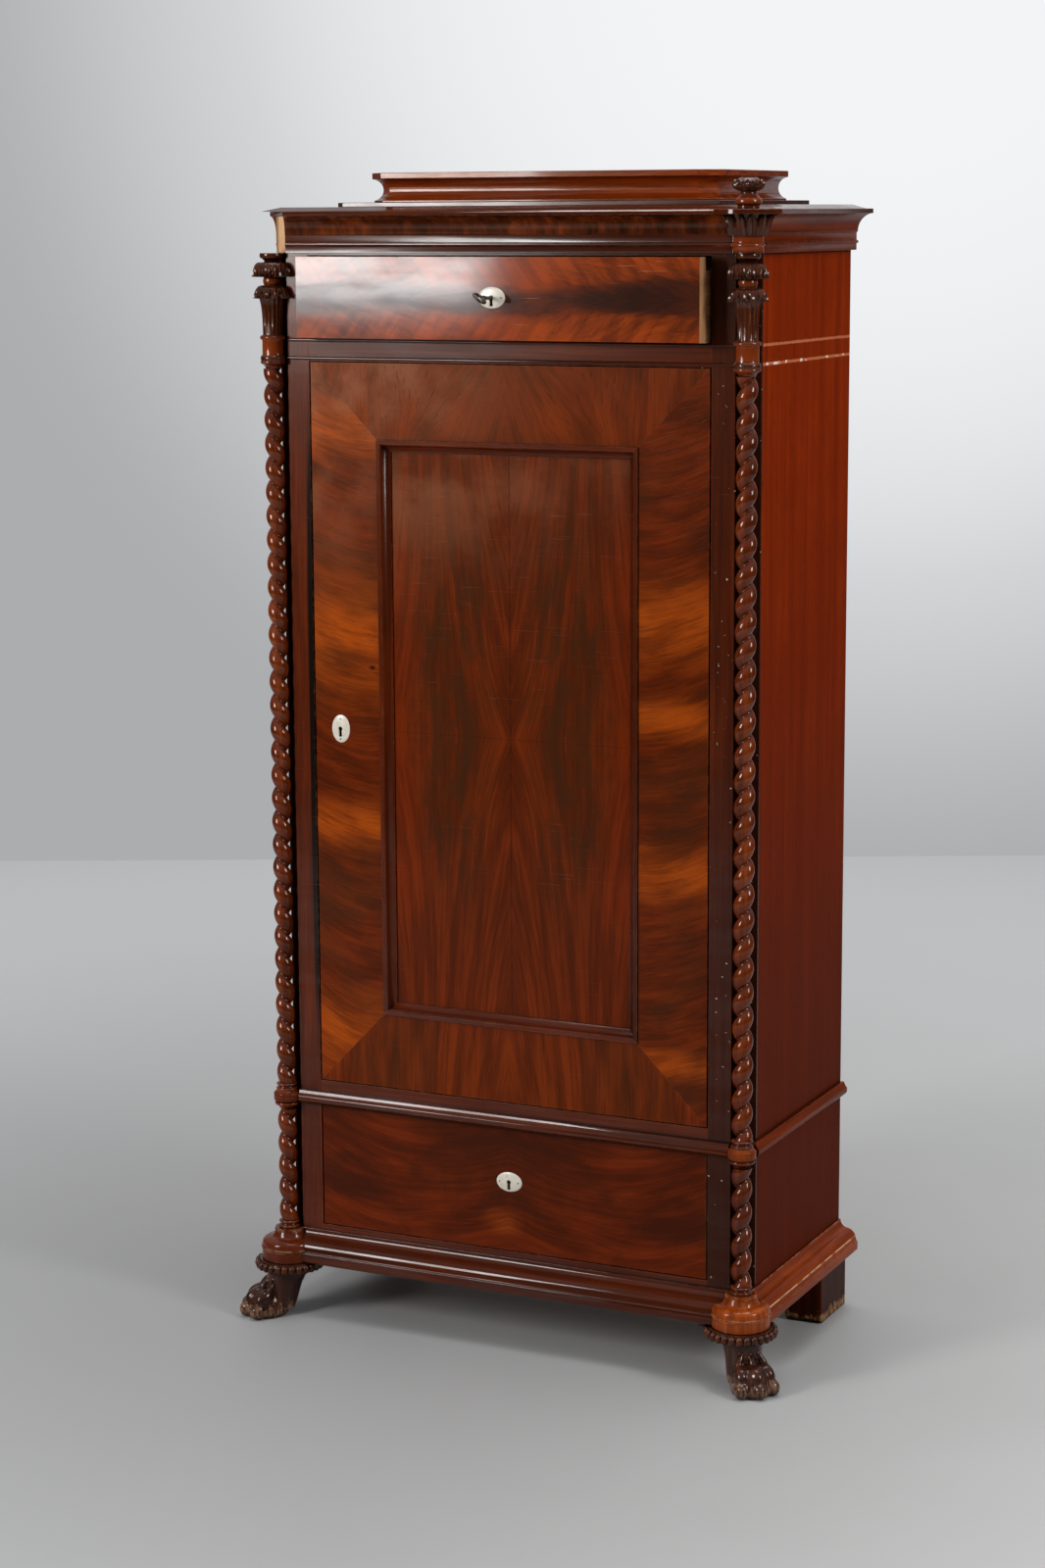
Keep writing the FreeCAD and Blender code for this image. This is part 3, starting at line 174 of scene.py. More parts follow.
class Net:
    """A node tree being wired."""

    def __init__(self, tree: bpy.types.NodeTree) -> None:
        """Start on an empty tree."""
        tree.nodes.clear()
        self.tree = tree

    @classmethod
    def of_material(cls, name: str) -> tuple[bpy.types.Material, "Net"]:
        """A new material and the net of its tree."""
        made = bpy.data.materials.new(name)
        made.use_nodes = True
        return made, cls(made.node_tree)

    def feed(self, socket: bpy.types.NodeSocket, value: Any) -> None:
        """Link a socket to a wire, or set the socket's own value.

        Args:
            socket: The input to feed.
            value: A wire, or a number, colour or vector.
        """
        if isinstance(value, Wire):
            self.tree.links.new(value.socket, socket)
        else:
            socket.default_value = value

    def node(self, kind: str, inputs: Optional[Mapping[Any, Any]] = None, **settings: Any) -> bpy.types.Node:
        """Add a node.

        Args:
            kind: Blender's name of the node type.
            inputs: Values or wires by input name or number.
            settings: Properties of the node.

        Returns:
            The new node.
        """
        made = self.tree.nodes.new(kind)
        for key, value in settings.items():
            setattr(made, key, value)
        for key, value in (inputs or {}).items():
            self.feed(made.inputs[key], value)
        return made

    def wire(self, kind: str, inputs: Optional[Mapping[Any, Any]] = None, output: Union[int, str] = 0,
             **settings: Any) -> Wire:
        """Add a node and take one of the values that it puts out.

        Args:
            kind: Blender's name of the node type.
            inputs: Values or wires by input name or number.
            output: The output's name or number.
            settings: Properties of the node.

        Returns:
            The value.
        """
        return Wire(self, self.node(kind, inputs, **settings).outputs[output])

    def reckon(self, operation: str, first: Value, second: Value = 0.0, clamp: bool = False) -> Wire:
        """One arithmetic step on two values, kept between 0 and 1 if clamped."""
        return self.wire("ShaderNodeMath", {0: first, 1: second}, operation=operation, use_clamp=clamp)

    def larger(self, first: Value, second: Value) -> Wire:
        """The larger of two values."""
        return self.reckon("MAXIMUM", first, second)

    def spread(self, value: Value, low: float, high: float, start: float = 0.0, end: float = 1.0) -> Wire:
        """Stretch low to high smoothly over start to end, held at both ends."""
        return self.wire("ShaderNodeMapRange", {0: value, 1: low, 2: high, 3: start, 4: end},
                         interpolation_type="SMOOTHSTEP")

    def hill(self, value: Wire, middle: float, reach: float) -> Wire:
        """A soft hill of height 1 where the value is at its middle, and 0 beyond its reach."""
        return self.spread(abs(value - middle), 0.0, reach, 1.0, 0.0)

    def mix(self, share: Value, first: Any, second: Any) -> Wire:
        """Mix two colours."""
        return self.wire("ShaderNodeMix", {0: share, 6: first, 7: second}, 2, data_type="RGBA")

    def ramp(self, value: Value, stops: Sequence[tuple[float, Colour]]) -> Wire:
        """Colours along a value.

        Args:
            value: Where to look on the ramp.
            stops: Places on the ramp and their colours, lowest first.

        Returns:
            The colour.
        """
        made = self.node("ShaderNodeValToRGB", {0: value})
        band = made.color_ramp.elements
        while len(band) < len(stops):
            band.new(1.0)
        for element, (place, colour) in zip(band, stops):
            element.position = place
            element.color = colour
        return Wire(self, made.outputs[0])

    def split(self, vector: Wire) -> tuple[Wire, ...]:
        """The three parts of a vector."""
        return tuple(Wire(self, part) for part in self.node("ShaderNodeSeparateXYZ", {0: vector}).outputs)

    def join(self, x: Value, y: Value, z: Value) -> Wire:
        """A vector of three values."""
        return self.wire("ShaderNodeCombineXYZ", {0: x, 1: y, 2: z})

    def stretch(self, vector: Wire, x: float, y: float, z: float) -> Wire:
        """A vector with each part multiplied."""
        return self.wire("ShaderNodeVectorMath", {0: vector, 1: (x, y, z)}, operation="MULTIPLY")

    def dot(self, first: Wire, second: Any) -> Wire:
        """How far two vectors run the same way."""
        return self.wire("ShaderNodeVectorMath", {0: first, 1: second}, "Value", operation="DOT_PRODUCT")

    def noise(self, vector: Wire, scale: float, detail: float = 3.0, rough: float = 0.55) -> Wire:
        """Smooth noise from about 0.25 to 0.75."""
        return self.wire("ShaderNodeTexNoise",
                         {"Vector": vector, "Scale": scale, "Detail": detail, "Roughness": rough})

    def position(self) -> Wire:
        """Where the surface is, in the cabinet's frame at rest."""
        return self.wire("ShaderNodeTexCoord", output="Object")

    def place(self, tree: bpy.types.NodeTree, inputs: Mapping[str, Any]) -> dict[str, Wire]:
        """Put a node group in this tree and take what it puts out."""
        made = self.node("ShaderNodeGroup", inputs, node_tree=tree)
        return {socket.name: Wire(self, socket) for socket in made.outputs}

    def surface(self, inputs: Mapping[str, Any]) -> None:
        """End a material with its shader."""
        shader = self.wire("ShaderNodeBsdfPrincipled", inputs)
        self.node("ShaderNodeOutputMaterial", {"Surface": shader})


class Group:
    """A node group being made: its net, what it is given and what it puts out."""

    def __init__(self, name: str, inputs: Mapping[str, tuple[str, Any]], outputs: Iterable[str]) -> None:
        """Start a node group.

        Args:
            name: The group's name.
            inputs: Socket type and default value by input name.
            outputs: Names of the values it puts out.
        """
        self.tree = bpy.data.node_groups.new(name, "ShaderNodeTree")
        for key, (kind, default) in inputs.items():
            socket = self.tree.interface.new_socket(key, in_out="INPUT", socket_type=kind)
            if default is not None:
                socket.default_value = default
        for key in outputs:
            self.tree.interface.new_socket(key, in_out="OUTPUT", socket_type="NodeSocketFloat")
        self.net = Net(self.tree)
        given = self.net.node("NodeGroupInput")
        self.given = {key: Wire(self.net, given.outputs[key]) for key in inputs}
        self.out = self.net.node("NodeGroupOutput")

    def give(self, key: str, value: Wire) -> None:
        """Put a value out."""
        self.net.feed(self.out.inputs[key], value)


class Effects:
    """Node groups that several finishes share, each built once."""

    @staticmethod
    @cache
    def fibre() -> bpy.types.NodeTree:
        """Streaks, pores and slow clouds of wood whose grain runs along the first part of its vector."""
        group = Group("wood_fibre", {
            "Vector": ("NodeSocketVector", None), "Along": ("NodeSocketFloat", 3.0),
            "Across": ("NodeSocketFloat", 80.0), "Wander": ("NodeSocketFloat", 0.01),
        }, ("Streak", "Pores", "Cloud"))
        net, given = group.net, group.given
        sway = net.noise(net.stretch(given["Vector"], 3, 7, 7), 1.0, 2.0) - 0.5
        along, across, through = net.split(given["Vector"])
        across = across + sway * given["Wander"]
        streak = net.noise(net.join(along * given["Along"], across * given["Across"], through * 40.0),
                           1.0, 6.0, 0.62)
        fine = net.noise(net.join(along * (given["Along"] * 2.3), across * (given["Across"] * 3.7),
                                  through * 90.0), 1.0, 6.0, 0.66)
        streak = streak * 0.55 + fine * 0.45
        pores = net.noise(net.join(along * 55.0, across * 950.0, through * 400.0), 1.0, 2.0)
        group.give("Streak", net.spread(streak, 0.32, 0.68))
        group.give("Pores", net.spread(pores, 0.58, 0.7))
        group.give("Cloud", net.spread(net.noise(given["Vector"], 6.0, 3.0), 0.35, 0.65))
        return group.tree

    @staticmethod
    @cache
    def wear_and_shade() -> bpy.types.NodeTree:
        """Rubbed outer edges, broken up by noise, and hollows to darken, for old soil and polish kept there
        and for painted shade.
        """
        group = Group("wear_and_shade", {
            "Reach": ("NodeSocketFloat", 0.0015), "Hollow": ("NodeSocketFloat", 0.012),
        }, ("Edge", "Recess", "Chip"))
        net, given = group.net, group.given
        eased_normal = net.wire("ShaderNodeBevel", {"Radius": given["Reach"]}, samples=4)
        turned = net.dot(eased_normal, net.wire("ShaderNodeNewGeometry", output="Normal"))
        # painted shade: ambient occlusion finds the hollows that are darkened
        hollow = net.wire("ShaderNodeAmbientOcclusion", {"Distance": given["Hollow"]}, "AO", samples=6)
        recess = net.spread(hollow, 0.35, 0.95, 1.0, 0.0)
        broken = net.spread(net.noise(net.position(), 90.0, 4.0), 0.42, 0.62)
        edge = net.spread(turned, 0.86, 0.995, 1.0, 0.0) * (1.0 - recess)
        chip = edge * net.spread(net.noise(net.position(), 38.0, 5.0), 0.62, 0.66)
        group.give("Edge", edge * broken)
        group.give("Recess", recess)
        group.give("Chip", chip)
        return group.tree

    @staticmethod
    @cache
    def scratches() -> bpy.types.NodeTree:
        """Fine scratches in old polish, mostly level, in crossing sets."""
        group = Group("polish_scratches", {"Vector": ("NodeSocketVector", None)}, ("Scratch", "Ripple"))
        net, vector = group.net, group.given["Vector"]
        total: Value = 0.0
        for degrees in (4.0, -17.0, 31.0):
            turned = net.wire("ShaderNodeMapping", {
                "Vector": vector, "Scale": (14.0, 14.0, 520.0),
                "Rotation": (0.0, math.radians(degrees), 0.0)})
            total = total + net.spread(net.noise(turned, 1.0, 2.0), 0.7, 0.745)
        patch = net.spread(net.noise(vector, 5.0, 3.0), 0.5, 0.62)
        group.give("Scratch", net.reckon("MINIMUM", total, 1.0) * patch)
        group.give("Ripple", net.noise(vector, 24.0, 2.0))
        return group.tree


@dataclass(frozen=True)
class Wood:
    """Polished solid mahogany with a straight run of grain.

    Along and across say how close its streaks lie, and wander how far they sway. Gloss and shine belong to
    the wood, coat and coat_gloss to the lacquer on it. Rubbed and scratched say how much of its edges and
    faces are worn, and grime_and_shade how dark its hollows turn, for old soil there and painted shade.
    """

    name: str
    dark: Colour = srgb(60, 19, 4)
    middle: Colour = srgb(79, 27, 6)
    light: Colour = srgb(98, 36, 9)
    worn: Colour = srgb(150, 82, 40)
    grain: Grain = Grain.ALONG_Z
    along: float = 2.5
    across: float = 70.0
    wander: float = 0.012
    gloss: float = 0.27
    coat: float = 0.08
    coat_gloss: float = 0.07
    shine: float = 0.16
    rubbed: float = 0.4
    edge_reach: float = 0.0015
    grime_and_shade: float = 0.8
    scratched: float = 0.05

    def fibre(self, net: Net, vector: Wire) -> dict[str, Wire]:
        """The masks of the wood's grain along a vector."""
        return net.place(Effects.fibre(), {"Vector": vector, "Along": self.along, "Across": self.across,
                                           "Wander": self.wander})

    def surface(self, net: Net, parts: Sequence[Wire]) -> tuple[Wire, Wire]:
        """The colour of the wood before wear.

        Args:
            net: The material's node tree.
            parts: x, y and z of the surface.

        Returns:
            The colour and the mask of open pores.
        """
        fibre = self.fibre(net, net.join(*(parts[index] for index in self.grain.value)))
        colour = net.ramp(fibre["Streak"], [(0.05, self.dark), (0.5, self.middle), (0.95, self.light)])
        return net.mix(fibre["Cloud"] * 0.45, colour, self.dark), fibre["Pores"]

    def material(self) -> bpy.types.Material:
        """The finish as a Blender material: wood, then rubbing, scratches and hollows darkened with old soil
        and painted shade, then a thin uneven lacquer.

        Returns:
            The material.
        """
        made, net = Net.of_material(self.name)
        position = net.position()
        colour, pores = self.surface(net, net.split(position))
        colour = net.mix(pores * 0.35, colour, OPEN_PORE)
        wear_and_shade = net.place(Effects.wear_and_shade(), {"Reach": self.edge_reach})
        polish = net.place(Effects.scratches(), {"Vector": position})
        for mask, share, tone in (
            # hollows darkened: old soil and polish, and painted shade
            (wear_and_shade["Recess"], self.grime_and_shade, HOLLOW_DIRT_AND_SHADE),
            (wear_and_shade["Edge"], self.rubbed, self.worn),
            (wear_and_shade["Chip"], self.rubbed, CHIPPED),
            (polish["Scratch"], self.scratched, DRY_SCRATCH),
        ):
            colour = net.mix(mask * share, colour, tone)
        lacquer: Value = 0.0
        if self.coat:
            film = net.noise(net.stretch(position, 8, 8, 36), 1.0, 5.0, 0.62)
            film = net.spread(film, 0.32, 0.68, 0.55, 1.0)
            lacquer = film * (self.coat - polish["Scratch"] * (0.7 * self.coat))
        rough = self.gloss + polish["Scratch"] * 0.2
        rough = rough + wear_and_shade["Edge"] * 0.2
        height = polish["Ripple"] * 0.6 - pores * 0.25
        net.surface({
            "Normal": net.wire("ShaderNodeBump", {"Height": height, "Strength": 0.12, "Distance": 0.002}),
            "Base Color": colour, "Roughness": rough, "Specular IOR Level": self.shine,
            "Specular Tint": WARM_GLEAM, "Coat Weight": lacquer, "Coat Roughness": self.coat_gloss,
        })
        return made


@dataclass(frozen=True)
class SideWood(Wood):
    """The cabinet's sides: warm above, darker and browner below with painted shade, with two bare glue lines
    on the right.
    """

    low_shade_tone: Colour = srgb(64, 25, 13)
    brown_at: float = 0.2
    warm_at: float = 1.35
    glue: Colour = srgb(182, 104, 68)
    flaked: Colour = srgb(226, 206, 186)
    glue_levels: tuple[float, float] = (1.3637, 1.3882)
    glue_half: float = 0.0024
    glue_fade: float = 0.0034
    right_side: float = 0.35

    def surface(self, net: Net, parts: Sequence[Wire]) -> tuple[Wire, Wire]:
        """The colour with the painted shade down the side and the glue lines.

        Args:
            net: The material's node tree.
            parts: x, y and z of the surface.

        Returns:
            The colour and the mask of open pores.
        """
        colour, pores = super().surface(net, parts)
        x, _, z = parts
        # painted shade: darker and browner towards the bottom
        colour = net.mix(net.spread(z, self.brown_at, self.warm_at, 0.75, 0.0), colour, self.low_shade_tone)
        ragged = net.noise(net.join(*parts), 160.0, 3.0) * 0.0022
        line: Value = 0.0
        for level in self.glue_levels:
            away = abs(z - level) + ragged
            line = net.larger(line, net.spread(away, self.glue_half, self.glue_fade, 1.0, 0.0))
        line = line * x.over(self.right_side)
        colour = net.mix(line * 0.85, colour, self.glue)
        flakes = net.spread(net.noise(net.join(*parts), 70.0, 2.0), 0.56, 0.6)
        flakes = flakes * line * z.under(1.375)
        return net.mix(flakes, colour, self.flaked), pores


@dataclass(frozen=True)
class StileWood(Wood):
    """The corner stiles: bare where the left cornice block came away, with a painted shadow along the door
    and painted shade at the right stile's ends, specked.
    """

    bare: Colour = srgb(198, 158, 120)
    bare_from: float = 1.5025
    gap_shadow_at: tuple[float, float] = (-0.2975, 0.854)
    gap_shadow_reach: tuple[float, float] = (0.009, 0.56)

    def surface(self, net: Net, parts: Sequence[Wire]) -> tuple[Wire, Wire]:
        """The colour with the bare patch, the painted shadow along the door, the painted shade at the right
        stile's ends, and specks.

        Args:
            net: The material's node tree.
            parts: x, y and z of the surface.

        Returns:
            The colour and the mask of open pores.
        """
        colour, pores = super().surface(net, parts)
        x, _, z = parts
        ragged = net.noise(net.join(*parts), 90.0, 3.0) * 0.006
        bare = (z - ragged).over(self.bare_from)
        colour = net.mix(bare * x.under(-0.3), colour, self.bare)
        # painted shadow along the left stile's edge by the door gap
        (shadow_x, shadow_z), (reach_x, reach_z) = self.gap_shadow_at, self.gap_shadow_reach
        gap_shadow = net.hill(x, shadow_x, reach_x) * net.hill(z, shadow_z, reach_z)
        colour = net.mix(net.reckon("MULTIPLY", gap_shadow, 4.0, clamp=True), colour, GAP_SHADOW_TONE)
        # painted shade: the right stile darkens towards its top and bottom
        shaded = net.larger(net.spread(z, 1.3, 1.45, 0.25, 0.75), net.spread(z, 0.3, 0.9, 0.7, 0.25))
        colour = net.mix(x.over(0.0) * shaded, colour, STILE_SHADE_TONE)
        speck = net.spread(net.noise(net.join(*parts), 210.0, 2.0), 0.74, 0.76)
        return net.mix(speck * x.over(0.29), colour, PALE_SPECK), pores


@dataclass(frozen=True)
class FootWood(Wood):
    """Wood that stands near the floor, knocked bare at its lowest edges."""

    knocked: Colour = srgb(156, 112, 76)
    knocked_below: float = 0.03

    def surface(self, net: Net, parts: Sequence[Wire]) -> tuple[Wire, Wire]:
        """The colour with the knocked parts.

        Args:
            net: The material's node tree.
            parts: x, y and z of the surface.

        Returns:
            The colour and the mask of open pores.
        """
        colour, pores = super().surface(net, parts)
        ragged = net.noise(net.join(*parts), 75.0, 5.0, 0.65) * (self.knocked_below * 1.6)
        low = net.spread(parts[2] + ragged, self.knocked_below, self.knocked_below * 1.35, 1.0, 0.0)
        splinter = net.spread(net.noise(net.stretch(net.join(*parts), 260, 260, 60), 1.0, 3.0), 0.35, 0.6)
        return net.mix(low * splinter, colour, self.knocked), pores


@dataclass(frozen=True)
class TurnedWood(Wood):
    """Turned blocks and discs, warm brown on the right and darkened with painted shade on the left."""

    left_shade_tone: Colour = srgb(64, 19, 7)

    def surface(self, net: Net, parts: Sequence[Wire]) -> tuple[Wire, Wire]:
        """The colour of the turned wood and the mask of its pores, darker on the left with painted shade."""
        colour, pores = super().surface(net, parts)
        # painted shade on the left column's turnings
        return net.mix(parts[0].under(0.0) * 0.75, colour, self.left_shade_tone), pores


@dataclass(frozen=True)
class PlinthWood(Wood):
    """The plinth's ends, rubbed bare along the arris under the slope."""

    arris: float = 0.1045
    arris_half: float = 0.0018
    rubbed_line: Colour = srgb(206, 156, 118)

    def surface(self, net: Net, parts: Sequence[Wire]) -> tuple[Wire, Wire]:
        """The colour with the rubbed line.

        Args:
            net: The material's node tree.
            parts: x, y and z of the surface.

        Returns:
            The colour and the mask of open pores.
        """
        colour, pores = super().surface(net, parts)
        line = net.hill(parts[2], self.arris, self.arris_half)
        broken = net.spread(net.noise(net.join(*parts), 45.0, 4.0), 0.36, 0.5, 0.15, 1.0)
        return net.mix(line * broken, colour, self.rubbed_line), pores


@dataclass(frozen=True)
class CarvedWood(Wood):
    """Carving that is dark in its leaves and flutes and warm on the plain rings between them."""

    plain: Colour = srgb(122, 48, 11)
    plain_bands: tuple[tuple[float, float], ...] = (
        (1.3655, 1.3945), (1.461, 1.4715), (1.5055, 1.5272), (1.5605, 1.5805))

    def surface(self, net: Net, parts: Sequence[Wire]) -> tuple[Wire, Wire]:
        """The colour with the warm rings.

        Args:
            net: The material's node tree.
            parts: x, y and z of the surface.

        Returns:
            The colour and the mask of open pores.
        """
        colour, pores = super().surface(net, parts)
        warm: Value = 0.0
        for low, high in self.plain_bands:
            inside = net.hill(parts[2], (low + high) / 2, (high - low) / 2)
            warm = net.larger(warm, net.reckon("MULTIPLY", inside, 6.0, clamp=True))
        return net.mix(warm * 0.8, colour, self.plain), pores


class Sheet(NamedTuple):
    """A place on a sheet of veneer, with its distances from the sheet's centre lines."""

    x: Wire
    y: Wire
    z: Wire
    beside: Wire
    rise: Wire
    above: Wire


class Flow(NamedTuple):
    """The place along and across a figure, and the masks of its dark clouds, flames and joint lines."""

    vector: Wire
    cloud: Wire
    flame: Value
    line: Value


@dataclass(frozen=True)
class Veneer(Wood):
    """A sheet of figured mahogany veneer, lighter with a painted sheen towards its top left."""

    dark: Colour = srgb(64, 20, 3)
    middle: Colour = srgb(84, 27, 4)
    light: Colour = srgb(104, 36, 6)
    figure: Figure = Figure.QUARTERED
    centre: float = 0.8546
    cloud: Colour = srgb(57, 29, 12)
    flame: Colour = srgb(154, 66, 11)
    sheen_tone: Colour = srgb(142, 88, 60)
    sheen_from: float = 1.22
    sheen_rise: float = 0.4
    sheen_lean: float = 0.9
    shine: float = 0.1
    coat: float = 0.04
    left_glow: tuple[tuple[float, float], ...] = ()
    right_glow: tuple[tuple[float, float], ...] = ()

    def glow(self, net: Net, sheet: Sheet) -> Value:
        """Bright flames at their heights on the left and right of the door.

        Args:
            net: The material's node tree.
            sheet: The place on the sheet.

        Returns:
            The mask of the flames.
        """
        total: Value = 0.0
        for sign, spots in ((-1.0, self.left_glow), (1.0, self.right_glow)):
            here = (sheet.x * sign).over(0.0)
            for level, reach in spots:
                total = net.larger(total, net.hill(sheet.z, level, reach) * here)
        return total

    def quartered(self, net: Net, sheet: Sheet) -> Flow:
        """Four leaves with leaning stripes, a dark cloud either side of the upright seam, and warm edges.

        Args:
            net: The material's node tree.
            sheet: The place on the sheet.

        Returns:
            The lines of the figure.
        """
        beside, above = sheet.beside, sheet.above
        across = beside - above * net.spread(beside, 0.0, 0.19, 0.3, -0.16)
        far = net.reckon("SQRT", ((beside - 0.088) / 0.08) ** 2.0 + ((sheet.rise - 0.06) / 0.34) ** 2.0)
        patch = net.noise(net.join(across * 36.0, 5.0, above * 17.0), 1.0, 5.0, 0.66)
        dark = net.spread(far, 0.45, 1.2, 1.0, 0.0) * net.spread(patch, 0.36, 0.62, 0.2, 1.0)
        seam = net.larger(net.spread(beside, 0.0003, 0.0011, 0.6, 0.0),
                          net.spread(above, 0.0002, 0.0009, 0.3, 0.0))
        bright = net.spread(beside, 0.115, 0.17) * net.spread(above, 0.42, 0.1)
        return Flow(net.join(above, across, sheet.y), dark, bright * 0.5, seam)

    def cross_stile(self, net: Net, sheet: Sheet) -> Flow:
        """Short grain that dips away from the middle of an upright, with flames and one small knot.

        Args:
            net: The material's node tree.
            sheet: The place on the sheet.

        Returns:
            The lines of the figure.
        """
        across = sheet.z - (sheet.beside - 0.19) ** 2.0 * 2.6
        patch = net.noise(net.join(sheet.x * 5.0, 0.0, across * 7.0), 1.0, 3.0)
        knot = net.hill(sheet.x, -0.204, 0.008) * net.hill(sheet.z, 0.943, 0.0055)
        return Flow(net.join(sheet.x, across, sheet.y), net.spread(patch, 0.46, 0.68, 0.0, 0.7),
                    self.glow(net, sheet), knot)

    def cross_rail(self, net: Net, sheet: Sheet) -> Flow:
        """Short upright grain that leans out from the middle of a rail.

        Args:
            net: The material's node tree.
            sheet: The place on the sheet.

        Returns:
            The lines of the figure.
        """
        across = sheet.beside + sheet.rise * net.spread(sheet.beside, 0.0, 0.2, 0.25, 0.02)
        patch = net.noise(net.join(sheet.beside * 9.0, 3.0, sheet.z), 1.0, 3.0)
        return Flow(net.join(sheet.z, across, sheet.y), net.spread(patch, 0.5, 0.7, 0.0, 0.5), 0.1, 0.0)

    def banded(self, net: Net, sheet: Sheet) -> Flow:
        """A swaying dark heart along the middle, with mottled flames above and below it.

        Args:
            net: The material's node tree.
            sheet: The place on the sheet.

        Returns:
            The lines of the figure.
        """
        beside, above = sheet.beside, sheet.above
        sway = net.noise(net.stretch(net.join(sheet.x, sheet.y, sheet.z), 6, 1, 20), 1.0, 5.0, 0.6) - 0.5
        off = above + sway * 0.06
        heart = net.spread(off, 0.004, 0.024, 0.95, 0.0)
        lean = beside * net.spread(beside, 0.0, 0.28, 0.05, 0.3)
        across = above + lean + sway * 0.05
        mottle = net.noise(net.join(sheet.x * 60.0 + above * 45.0, 2.0, above * 12.0), 1.0, 4.0)
        bright = net.spread(off, 0.01, 0.03) * net.spread(mottle, 0.34, 0.6, 0.35, 0.95)
        return Flow(net.join(sheet.x, across, sheet.y), heart, bright, 0.0)

    def swirled(self, net: Net, sheet: Sheet) -> Flow:
        """Slow waves out from the middle, with one bright spot below it.

        Args:
            net: The material's node tree.
            sheet: The place on the sheet.

        Returns:
            The lines of the figure.
        """
        across = sheet.rise + net.reckon("SINE", sheet.beside * 11.0) * 0.03
        spot = net.hill(sheet.x, -0.012, 0.04) * net.hill(sheet.rise, -0.045, 0.03)
        patch = net.noise(net.join(sheet.beside * 8.0, 1.5, across * 14.0), 1.0, 4.0)
        return Flow(net.join(sheet.beside, across, sheet.y), net.spread(patch, 0.4, 0.62), spot, 0.0)

    def surface(self, net: Net, parts: Sequence[Wire]) -> tuple[Wire, Wire]:
        """The colour of the figured sheet.

        Args:
            net: The material's node tree.
            parts: x, y and z of the surface.

        Returns:
            The colour and the mask of open pores.
        """
        x, y, z = parts
        beside, rise = abs(x), z - self.centre
        draw = {
            Figure.QUARTERED: self.quartered, Figure.CROSS_STILE: self.cross_stile,
            Figure.CROSS_RAIL: self.cross_rail, Figure.BANDED: self.banded, Figure.SWIRLED: self.swirled,
        }[self.figure]
        flow = draw(net, Sheet(x, y, z, beside, rise, abs(rise)))
        fibre = self.fibre(net, flow.vector)
        broad = net.noise(net.stretch(flow.vector, self.along * 1.2, self.across * 0.3, 8.0), 1.0, 3.0)
        streak = fibre["Streak"] * 0.6 + net.spread(broad, 0.34, 0.66) * 0.4
        colour = net.ramp(streak, [(0.15, self.dark), (0.5, self.middle), (0.85, self.light)])
        lit = net.mix(net.spread(streak, 0.1, 0.8, 0.3, 1.0), self.middle, self.flame)
        colour = net.mix(flow.flame, colour, lit)
        colour = net.mix(flow.cloud * net.spread(streak, 0.0, 1.0, 0.9, 0.6), colour, self.cloud)
        # painted sheen: a lighter warm patch towards the top left, standing in for the front-left lamp's
        # glare
        high = net.spread(z - x * self.sheen_lean, self.sheen_from, self.sheen_from + self.sheen_rise)
        painted_sheen = high * net.spread(net.noise(net.join(*parts), 12.0, 5.0), 0.34, 0.66, 0.05, 0.75)
        colour = net.mix(painted_sheen, colour, self.sheen_tone)
        return net.mix(flow.line, colour, JOINT_LINE), fibre["Pores"]


@dataclass(frozen=True)
class RawWood(Wood):
    """Unpolished wood of backs, drawer sides and bare joints."""

    dark: Colour = srgb(128, 86, 56)
    middle: Colour = srgb(160, 116, 78)
    light: Colour = srgb(188, 144, 102)
    worn: Colour = srgb(196, 156, 112)
    gloss: float = 0.62
    coat: float = 0.0
    rubbed: float = 0.3
    grime_and_shade: float = 0.5


@dataclass(frozen=True)
class Bone:
    """Pale polished bone with hairlines, darker in its hollows."""

    name: str = "polished_bone"
    tone: Colour = srgb(206, 198, 184)
    aged: Colour = srgb(176, 162, 138)
    hairline: Colour = srgb(150, 132, 104)
    hollow_tone: Colour = srgb(70, 48, 30)
    coat: float = 0.2

    def material(self) -> bpy.types.Material:
        """The finish as a Blender material.

        Returns:
            The material.
        """
        made, net = Net.of_material(self.name)
        position = net.position()
        hair = net.spread(net.noise(net.stretch(position, 1400, 40, 90), 1.0, 2.0), 0.6, 0.72)
        stain = net.spread(net.noise(position, 160.0, 4.0), 0.45, 0.7)
        wear_and_shade = net.place(Effects.wear_and_shade(), {"Reach": 0.0008, "Hollow": 0.004})
        colour = net.mix(stain * 0.45, self.tone, self.aged)
        colour = net.mix(hair * 0.3, colour, self.hairline)
        # darker in its hollows
        colour = net.mix(wear_and_shade["Recess"] * 0.75, colour, self.hollow_tone)
        net.surface({
            "Base Color": colour, "Roughness": 0.28 + stain * 0.15, "Coat Weight": self.coat,
            "Normal": net.wire("ShaderNodeBump", {"Height": hair, "Strength": 0.1, "Distance": 0.0003}),
        })
        return made


@dataclass(frozen=True)
class Iron:
    """Forged iron, dark with old oil and a little rust."""

    name: str = "forged_iron"
    tone: Colour = srgb(74, 70, 66)
    rust: Colour = srgb(82, 48, 30)
    rubbed: Colour = srgb(150, 146, 140)

    def material(self) -> bpy.types.Material:
        """The finish as a Blender material.

        Returns:
            The material.
        """
        made, net = Net.of_material(self.name)
        position = net.position()
        stain = net.spread(net.noise(position, 210.0, 5.0, 0.65), 0.5, 0.68)
        pits = net.noise(position, 900.0, 3.0)
        wear_and_shade = net.place(Effects.wear_and_shade(), {"Reach": 0.0008, "Hollow": 0.005})
        colour = net.mix(stain * 0.8, self.tone, self.rust)
        colour = net.mix(wear_and_shade["Edge"] * 0.6, colour, self.rubbed)
        net.surface({
            "Normal": net.wire("ShaderNodeBump", {"Height": pits, "Strength": 0.25, "Distance": 0.0004}),
            "Base Color": colour, "Roughness": 0.34 + stain * 0.35, "Metallic": 0.95 - stain * 0.6,
        })
        return made


